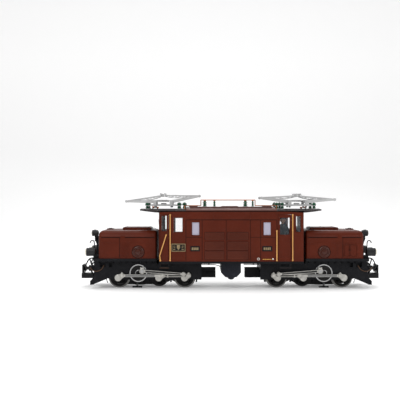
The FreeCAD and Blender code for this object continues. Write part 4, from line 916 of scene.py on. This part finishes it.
def frame_details(side):
    """Rivets, footplate edge, straps, sand boxes, pipes and the beam's fittings on one bogie."""
    word = SIDES[side]
    body = f"{word}_bogie"
    metal, pipes, bends, hoses = Shape(side), Shape(side), Shape(side), Shape(side)
    for face in FACES:
        def out(depth):
            return face * (FRAME_SIDE + depth)

        metal.box((134.5, 246.8), (face * 49.6, face * 50.4), (50.4, 54.7))
        for k in range(9):
            x = (140.0 + 12.0 * k)
            metal.prism("XZ", [(x - 0.6, 50.0), (x + 0.6, 50.0), (x + 0.6, 44.6), (x - 0.6, 44.6)],
                        (out(0.0), out(1.2)))
            metal.prism("YZ", [(out(0.0), 50.0), (out(8.6), 50.0), (out(0.0), 45.2)], (x - 0.5, x + 0.5))
        for a, b in ((58.0, 76.0), (91.0, 120.0), (190.0, 212.0)):
            metal.box((a, b), (out(-0.2), out(0.35)), (41.6, 42.4))
        for a in (60.0, 106.5, 212.0):
            metal.box((a, (a + 1.0)), (out(-0.2), out(0.35)), (24.0 if a < 200 else 30.0, 44.5))
        metal.prism("XZ", [(214.0, 36.0), (224.5, 26.6), (225.5, 20.2), (246.6, 13.6),
                           (246.6, 36.0)], (out(-0.2), out(0.45)))
        rivet_rows = [((230.0 + 5.0 * k), out(0.4), 33.5) for k in range(4)]
        rivet_rows += [(244.0, out(0.4), 17.5 + 4.0 * k) for k in range(4)]
        rivet_rows += [((56.0 + 5.5 * k), out(0.0), 43.4) for k in range(14)]
        rivet_rows += [((188.0 + 5.0 * k), out(0.0), 43.4) for k in range(5)]
        metal.rivets(rivet_rows, "y", face, 0.45, 0.3)
        for axle in AXLES.values():
            metal.box(((axle - 6.5), (axle + 6.5)), (out(-0.2), out(0.3)), (34.2, 35.6))
            for x in (axle - 5.0, axle + 5.0):
                metal.box(((x - 0.7), (x + 0.7)), (out(-0.2), out(0.3)), (35.6, 41.6))
        metal.box((223.0, 233.0), (face * 28.5, face * 35.6), (22.0, 38.0))
        pipes.tube(curve_points([(228.0, face * 32.0, 23.0), (226.5, face * 26.5, 17.0),
                                 (224.6, face * 24.0, 9.0)]), 0.7, 8)
        bends.tube(curve_points([(254.0, face * 41.5, 41.0), (252.5, face * 42.0, 36.0),
                                 (246.0, face * 42.0, 31.6), (239.0, face * 42.0, 31.8),
                                 (233.0, face * 41.8, 35.0), (229.5, face * 41.0, 40.5),
                                 (229.0, face * 39.5, 42.5)], 3), 0.75, 10)
        metal.box((247.0, 255.0), (face * 38.5, face * 42.5), (39.5, 42.0))
        for top_y, low_x in ((33.0, 263.2), (30.0, 252.6)):
            hoses.tube(curve_points([(249.0, face * top_y, 55.0), (256.5, face * top_y, 54.0),
                                     ((256.5 + (low_x - 256.5) * 0.55), face * top_y, 47.5),
                                     (low_x, face * top_y, 41.0),
                                     ((low_x - 1.2), face * (top_y - 0.5), 37.0),
                                     ((low_x - 5.0), face * (top_y - 2.0), 34.6),
                                     (248.5, face * (top_y - 3.0), 35.6),
                                     (246.6, face * (top_y - 3.0), 36.0)], 3), 1.15, 10)
        for y in (18.5, 24.0):
            hoses.tube(curve_points([(246.8, face * y, 46.0), (252.5, face * y, 45.0),
                                     (254.5, face * y, 38.0), (254.0, face * y, 28.0),
                                     (251.0, face * y, 24.0)], 3), 1.25, 10)
            pipes.lathe("z", (250.9, face * y), [(20.6, 1.5), (23.0, 1.6), (24.6, 1.2)], 12)
        pipes.tube(curve_points([(247.4, face * 30.0, 55.0), (247.6, face * 30.0, 82.0),
                                 (248.6, face * 30.0, 85.6), (251.6, face * 30.0, 86.8),
                                 (254.6, face * 30.0, 85.2), (255.4, face * 30.0, 82.0)], 2), 0.95, 10)
        pipes.tube([(246.0, face * 47.0, 54.8), (246.0, face * 47.0, 57.6)], 0.6, 8)
    post = [(237.5, 56.0), (248.5, 56.0), (247.6, 78.0), (251.0, 88.0), (251.0, 93.6), (246.0, 94.5),
            (237.5, 90.0)]
    metal.prism("XZ", [(u, z) for u, z in post], (-3.0, 3.0))
    for sign in (-1, 1):
        metal.box((238.5, 247.5), (sign * 30.5, sign * 39.5), (54.8, 60.6))
        metal.box((212.5, 237.5), (sign * 32.2, sign * 33.0), (37.6, 48.4))
    skirt = [(216.0, 24.0), (224.0, 17.6), (249.0, 7.6), (249.6, 22.0), (236.0, 28.0)]
    for face in FACES:
        metal.prism("XZ", [(u, z) for u, z in skirt], (face * 36.4, face * 40.5))
    for y in (-9.0, 9.0):
        metal.rivets([(247.0, y, z) for z in (28.0, 44.0)], "x", 1, 0.8, 0.6)
    metal.rivets([(247.0, -33.0 + 6.0 * k, 52.5) for k in range(12)], "x", 1, 0.5, 0.35)
    metal.lathe("x", (0.0, 33.5), [(246.9, 8.0), (248.2, 8.0), (248.8, 6.4)], 28)
    metal.lathe("x", (0.0, 33.5), [(259.5, 5.6), (262.0, 5.6), (262.2, 5.0)], 24)
    metal.box((31.0, 53.0), (-7.5, 7.5), (31.4, 32.6))
    metal.make(f"{word}_frame_fittings", "frame_dark", body, "frame_dark", 0.1)
    pipes.make(f"{word}_frame_pipes", "frame_dark", body, "frame_dark")
    bends.make(f"{word}_frame_bends", "step_brown", body, "frame_dark")
    hoses.make(f"{word}_beam_hoses", "coupler_black", body, "frame_dark")


def lamp_details(side):
    """Rims, fins, hinges and domed glasses on the three headlamps of one bogie."""
    word = SIDES[side]
    body = f"{word}_bogie"
    rims, glass = Shape(side), Shape(side)
    for y, z, radius, back, front in ((0.0, 98.5, 5.6, 245.5, 256.0), (-35.0, 66.0, 7.4, 245.5, 261.0),
                                      (35.0, 66.0, 7.4, 245.5, 261.0)):
        rims.lathe("x", (y, z), [((back - 1.6), radius * 0.45), ((back - 0.6), radius * 0.8),
                                 ((back + 0.3), radius * 0.95)], 28)
        for x in (front - 1.6, front - 4.4, back + 2.2):
            rims.torus("x", (x, y, z), radius, 0.42, 36, 8)
        count = 5 if radius > 6 else 3
        for k in range(count):
            x = back + 3.6 + 1.5 * k
            rims.box((x, (x + 0.6)), (y - 2.6, y + 2.6), (z + radius - 0.6, z + radius + 0.9))
        inner = radius - 1.3
        bulge = 3.4 if radius > 6 else 1.4
        glass.lathe("x", (y, z), [((front - 0.9), inner), ((front + bulge * 0.35), inner),
                                  ((front + bulge * 0.8), inner * 0.78),
                                  ((front + bulge), inner * 0.3)], 32)
    rims.make(f"{word}_lamp_rims", "lamp_black", body, "lamp_black", 0.06)
    glass.make(f"{word}_lamp_glasses", "lamp_lens", body, "lamp_lens")


def rod_details(side, face):
    """Fluted flanks, oil cups, collars and bolts on one side's rods; the fluting is drawn as flat dark strips of
    painted shade.
    """
    body = f"{SIDES[side]}_rods_{'near' if face < 0 else 'far'}"
    bright, grey, flute_shade = Shape(), Shape(), Shape()
    pins = {key: crank_spot(side, face, side * axle, AXLE_Z) for key, axle in AXLES.items()}
    jack_pin = crank_spot(side, face, side * JACK[0], JACK[1])
    lug = (pins["inner"][0] + side * 9.2, pins["inner"][1] + 3.05)
    rod_face, main_face = face * 46.8, face * 50.0

    def strip(a, b, start, stop, half_a, half_b, plane, out, shape):
        """A strip along a rod between two shares of its length."""
        (ax, az), (bx, bz) = a, b
        points = []
        for share, half in ((start, half_a), (stop, half_b)):
            points.append((ax + (bx - ax) * share, az + (bz - az) * share, half))
        (px, pz, ph), (qx, qz, qh) = points
        shape.prism("XZ", [(px, pz - ph), (qx, qz - qh), (qx, qz + qh), (px, pz + ph)],
                    (plane - face * 0.3, plane + face * out))

    # painted shade: the fluting is drawn as flat dark strips standing for the shade in its grooves
    strip(jack_pin, lug, 0.08, 0.93, 1.7, 1.15, main_face, 0.05, flute_shade)
    strip(pins["middle"], pins["inner"], 0.1, 0.9, 1.2, 1.2, rod_face, 0.05, flute_shade)
    strip(pins["outer"], pins["middle"], 0.08, 0.8, 1.75, 1.75, rod_face, 0.05, grey)
    for (x, z), plane, radius in ((jack_pin, main_face, 5.0), (lug, main_face, 3.9)):
        bright.torus("y", (x, plane, z), radius - 0.7, 0.5, 32, 8)
    for x, z in pins.values():
        bright.torus("y", (x, rod_face, z), 3.7, 0.45, 32, 8)
        bright.lathe("z", (x, face * 45.5), [(z + 5.1, 0.9), (z + 5.9, 0.9), (z + 6.2, 0.5)], 12)
    for shift in (-2.6, 2.6):
        bright.lathe("z", (jack_pin[0] + shift, face * 48.7), [(jack_pin[1] + 3.8, 0.8), (jack_pin[1] + 6.9,
                                                                                          0.9),
                                                              (jack_pin[1] + 7.3, 0.4)], 10)
        bright.lathe("y", (jack_pin[0] + shift * 1.3, jack_pin[1]), [(face * 49.8, 0.6), (face * 50.5, 0.6)],
                     6)
    knuckle = (pins["middle"][0] - side * 9.0, pins["middle"][1])
    bright.lathe("y", knuckle, [(face * 46.6, 1.4), (face * 47.3, 1.3), (face * 47.5, 0.8)], 16)
    bright.make(f"{body}_collars", "nickel", body, "nickel", 0.08)
    grey.make(f"{body}_greys", "rod_grey", body, "nickel")
    flute_shade.make(f"{body}_flute_shades", "rod_flute_shade", body, "nickel")


def crank_details(side, word, axle):
    """Turned rings on the cranks' bosses and pins, and balance weights on the wheels."""
    body = f"{SIDES[side]}_wheelset_{word}"
    bright, dark = Shape(), Shape()
    for face in FACES:
        pin = crank_spot(side, face, side * axle, AXLE_Z)
        bright.torus("y", (side * axle, face * 43.6, AXLE_Z), 4.6, 0.4, 32, 8)
        bright.lathe("y", (side * axle, AXLE_Z), [(face * 43.4, 2.4), (face * 43.9, 2.3), (face * 44.0,
                                                                                           1.6)], 24)
        bright.torus("y", (pin[0], face * 48.2, pin[1]), 1.9, 0.4, 24, 8)
        away = math.radians(CRANKS[side][face] + 180)
        outline = []
        for k in range(9):
            turn = away + math.radians(-40 + 10 * k)
            outline.append((side * axle + 13.6 * math.cos(turn), AXLE_Z + 13.6 * math.sin(turn)))
        for k in range(9):
            turn = away + math.radians(40 - 10 * k)
            outline.append((side * axle + 8.5 * math.cos(turn), AXLE_Z + 8.5 * math.sin(turn)))
        dark.prism("XZ", outline, (face * 21.5, face * 26.0))
    bright.make(f"{body}_rings", "nickel", body, "nickel")
    dark.make(f"{body}_weights", "wheel_dark", body, "wheel_metal", 0.2)


def jack_details(side):
    """A thin ring around each dish's hub and a nut at its middle."""
    body = f"{SIDES[side]}_jackshaft"
    bright = Shape()
    for face in FACES:
        bright.torus("y", (side * JACK[0], face * 43.5, JACK[1]), 5.2, 0.55, 36, 8)
        bright.lathe("y", (side * JACK[0], JACK[1]), [(face * 43.0, 1.5), (face * 43.9, 1.4)], 6)
    bright.make(f"{body}_rings", "bright_rim", body, "nickel")


def brakes(side):
    """A hanger and brake block beside the middle and inner wheels."""
    word = SIDES[side]
    blocks = Shape(side)
    for face in FACES:
        for axle, way in ((AXLES["middle"], -1), (AXLES["inner"], -1), (AXLES["middle"], 1),
                          (AXLES["outer"], -1)):
            outline = []
            for k in range(7):
                turn = math.radians(-22 + 7 * k)
                outline.append(((axle + way * 20.7 * math.cos(turn)), AXLE_Z - 2 + 20.7 * math.sin(turn)))
            top, low = outline[-1], outline[0]
            outline += [(top[0] + way * 3.2, top[1] + 2.5), (low[0] + way * 3.6, low[1] + 0.5)]
            blocks.prism("XZ", outline, (face * 22.8, face * 26.8))
            hanger_x = (top[0] + way * 0.4, top[0] + way * 2.0)
            blocks.box(hanger_x, (face * 24.0, face * 25.6), (top[1], 41.5))
    blocks.make(f"{word}_brake_blocks", "gear_plastic", f"{word}_bogie", "frame_dark", 0.15)


def end_fittings(side):
    """The coupler's screw heads and guard, the buffer's rings, and the pickup's springs."""
    word = SIDES[side]
    dark, plate, springs = Shape(side), Shape(side), Shape(side)
    dark.lathe("z", (242.0, 0.0), [(15.0, 2.6), (15.6, 2.6), (15.7, 2.0)], 16)
    for sign in (-1, 1):
        dark.box((251.5, 260.5), (sign * 8.3, sign * 9.0), (17.0, 23.0))
    dark.make(f"{word}_coupler_fittings", "coupler_black", f"{word}_coupler", "coupler_black", 0.15)
    plate.lathe("x", (0.0, 33.2), [(272.8, 4.4), (273.3, 4.2), (273.4, 3.4)], 24)
    for sign in (-1, 1):
        plate.prism("XY", [(269.6, sign * 4.0), (269.6, sign * 12.0), (267.4, sign * 4.6)],
                    (32.4, 34.0))
    plate.make(f"{word}_buffer_fittings", "coupler_black", f"{word}_buffer", "coupler_black", 0.1)
    for face in FACES:
        for k in range(4):
            springs.torus("z", (170.0, face * 23.7, 3.8 + 1.1 * k), 1.75, 0.3, 20, 6)
    springs.make(f"{word}_pickup_springs", "motor_steel", f"{word}_pickup_shoes", "contact_brass")


def bogie(side):
    """Everything that rides on one bogie and its moving pieces."""
    word = SIDES[side]
    body = f"{word}_bogie"
    softened(f"{word}_hood", "brown_paint", body, 0.3)
    softened(f"{word}_bogie_frame", "frame_dark", body, 0.3)
    softened(f"{word}_lamp_housings", "lamp_black", body, 0.2)
    softened(f"{word}_coupler", "coupler_black", f"{word}_coupler", 0.4)
    softened(f"{word}_buffer", "coupler_black", f"{word}_buffer", 0.4)
    node_material(f"{word}_gearbox", "gear_plastic")
    node_material(f"{word}_motor_can", "motor_steel")
    node_material(f"{word}_motor_rotor", "motor_steel")
    node_material(f"{word}_lamp_lenses", "lamp_lens")
    node_material(f"{word}_pickup_shoes", "gear_plastic")
    node_material(f"{word}_jackshaft", "bright_rim", "wheel_dark", pick=jack_finish(side))
    for key, axle in AXLES.items():
        node_material(f"{word}_wheelset_{key}", "tyre_steel", "nickel", "wheel_dark",
                      pick=wheel_finish(side, axle))
        crank_details(side, key, axle)
    for face in FACES:
        rods = f"{word}_rods_{'near' if face < 0 else 'far'}"
        softened(rods, "nickel", rods, 0.25)
        rod_details(side, face)
    jack_details(side)
    brakes(side)
    hood_trim(side)
    frame_details(side)
    lamp_details(side)
    end_fittings(side)


for bogie_side in SIDES:
    bogie(bogie_side)


# ---------------------------------------------------------------- pantographs

PANTOS = {-1: -123.2, 1: 123.6}
PANTO_POST = (29.0, 22.0)
EYE_Y = {-1: 15.0, 1: 11.0}
SPRING_Z = 158.6


def pantograph(side):
    """Springs, insulator caps, contact strips and joint caps on one pantograph."""
    word = SIDES[side]
    middle = PANTOS[side]
    for name in frame["nodes"]:
        if name.startswith(f"{word}_panto"):
            node_material(name, "panto_silver")
    base, wires, caps = Shape(), Shape(), Shape()
    post_x, post_y = PANTO_POST
    for x in (middle - post_x, middle + post_x, side * 84.5):
        for y in (-post_y, post_y):
            caps.lathe("z", (x, y), [(150.2, 3.4), (150.8, 4.2), (151.8, 4.2), (152.6, 2.6), (153.2, 3.4),
                                     (154.2, 3.3), (155.0, 1.6)], 20)
            base.lathe("z", (x, y), [(154.8, 1.2), (155.8, 1.2), (156.0, 0.8)], 6)
            base.lathe("z", (x, y), [(142.7, 4.4), (144.0, 4.4), (144.4, 3.0)], 20)
    for y in (-9.0, 9.0):
        base.box((middle - 22.0, middle + 22.0), (y - 1.0, y + 1.0), (149.5, 151.5))
        for k in range(10):
            base.torus("x", (middle - 9.0 + 2.0 * k, y, SPRING_Z), 1.4, 0.55, 16, 6)
        base.tube([(middle - 12.4, y, SPRING_Z), (middle + 12.4, y, SPRING_Z)], 0.9, 8)
        for x in (middle - 12.0, middle + 12.0):
            base.box((x - 0.6, x + 0.6), (y - 1.0, y + 1.0), (151.3, 160.0))
    for x in (middle - 15.0, middle + 15.0):
        for sign in (-1, 1):
            base.lathe("z", (x, sign * 18.0), [(146.2, 1.8), (149.4, 1.8)], 12)
    base.box((middle - 5.0, middle + 5.0), (-3.5, 3.5), (151.9, 154.4))
    wires.tube(curve_points([(side * 84.5, -22.0, 150.4), (side * 84.0, -24.0, 149.0),
                             (side * 83.6, -26.0, 145.5),
                             (side * 83.4, -27.0, 143.2)]), 0.6, 8)
    base.make(f"{word}_panto_springs", "panto_silver", BODY, "panto_silver", 0.08)
    wires.make(f"{word}_panto_lead", "copper", BODY, "copper")
    caps.make(f"{word}_panto_caps", "green_insulator", BODY, "green_insulator", 0.1)
    hinges = {joint["name"]: [c / MM for c in joint["pos_m"]] for joint in frame["joints"] if "pos_m" in joint}
    top = hinges[f"{word}_panto_head_level"]
    for arm, half in (("outer", EYE_Y[side]), ("inner", EYE_Y[-side])):
        name = f"{word}_panto_upper_arm_{arm}"
        knee = hinges[f"{name}_fold"]
        truss = Shape()
        for sign in (-1, 1):
            chord, rail = [], []
            for share, depth in ((0.07, 0.9), (0.25, 2.4), (0.45, 3.5), (0.65, 4.2), (0.82, 3.4),
                                 (0.94, 1.6)):
                x, z = knee[0] + (top[0] - knee[0]) * share, knee[2] + (top[2] - knee[2]) * share
                rail.append((x, sign * half, z))
                chord.append((x, sign * half, z - depth))
            truss.tube(chord, 0.55, 8)
            for k in range(len(chord) - 1):
                truss.tube([rail[k], chord[k + 1]], 0.4, 6)
                truss.tube([chord[k + 1], rail[k + 1]], 0.4, 6)
        truss.make(f"{name}_truss", "panto_silver", name, "panto_silver")
    low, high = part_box(f"{word}_panto_head")
    x, top = (low.x + high.x) / 2 / MM, high.z / MM
    strips = Shape()
    for sign in (-1, 1):
        strips.box((x + sign * 3.8 - 0.8, x + sign * 3.8 + 0.8), (-27.0, 27.0), (top - 0.2, top + 0.5))
    strips.make(f"{word}_panto_contacts", "carbon", f"{word}_panto_head", "panto_silver", 0.15)


for panto_side in SIDES:
    pantograph(panto_side)
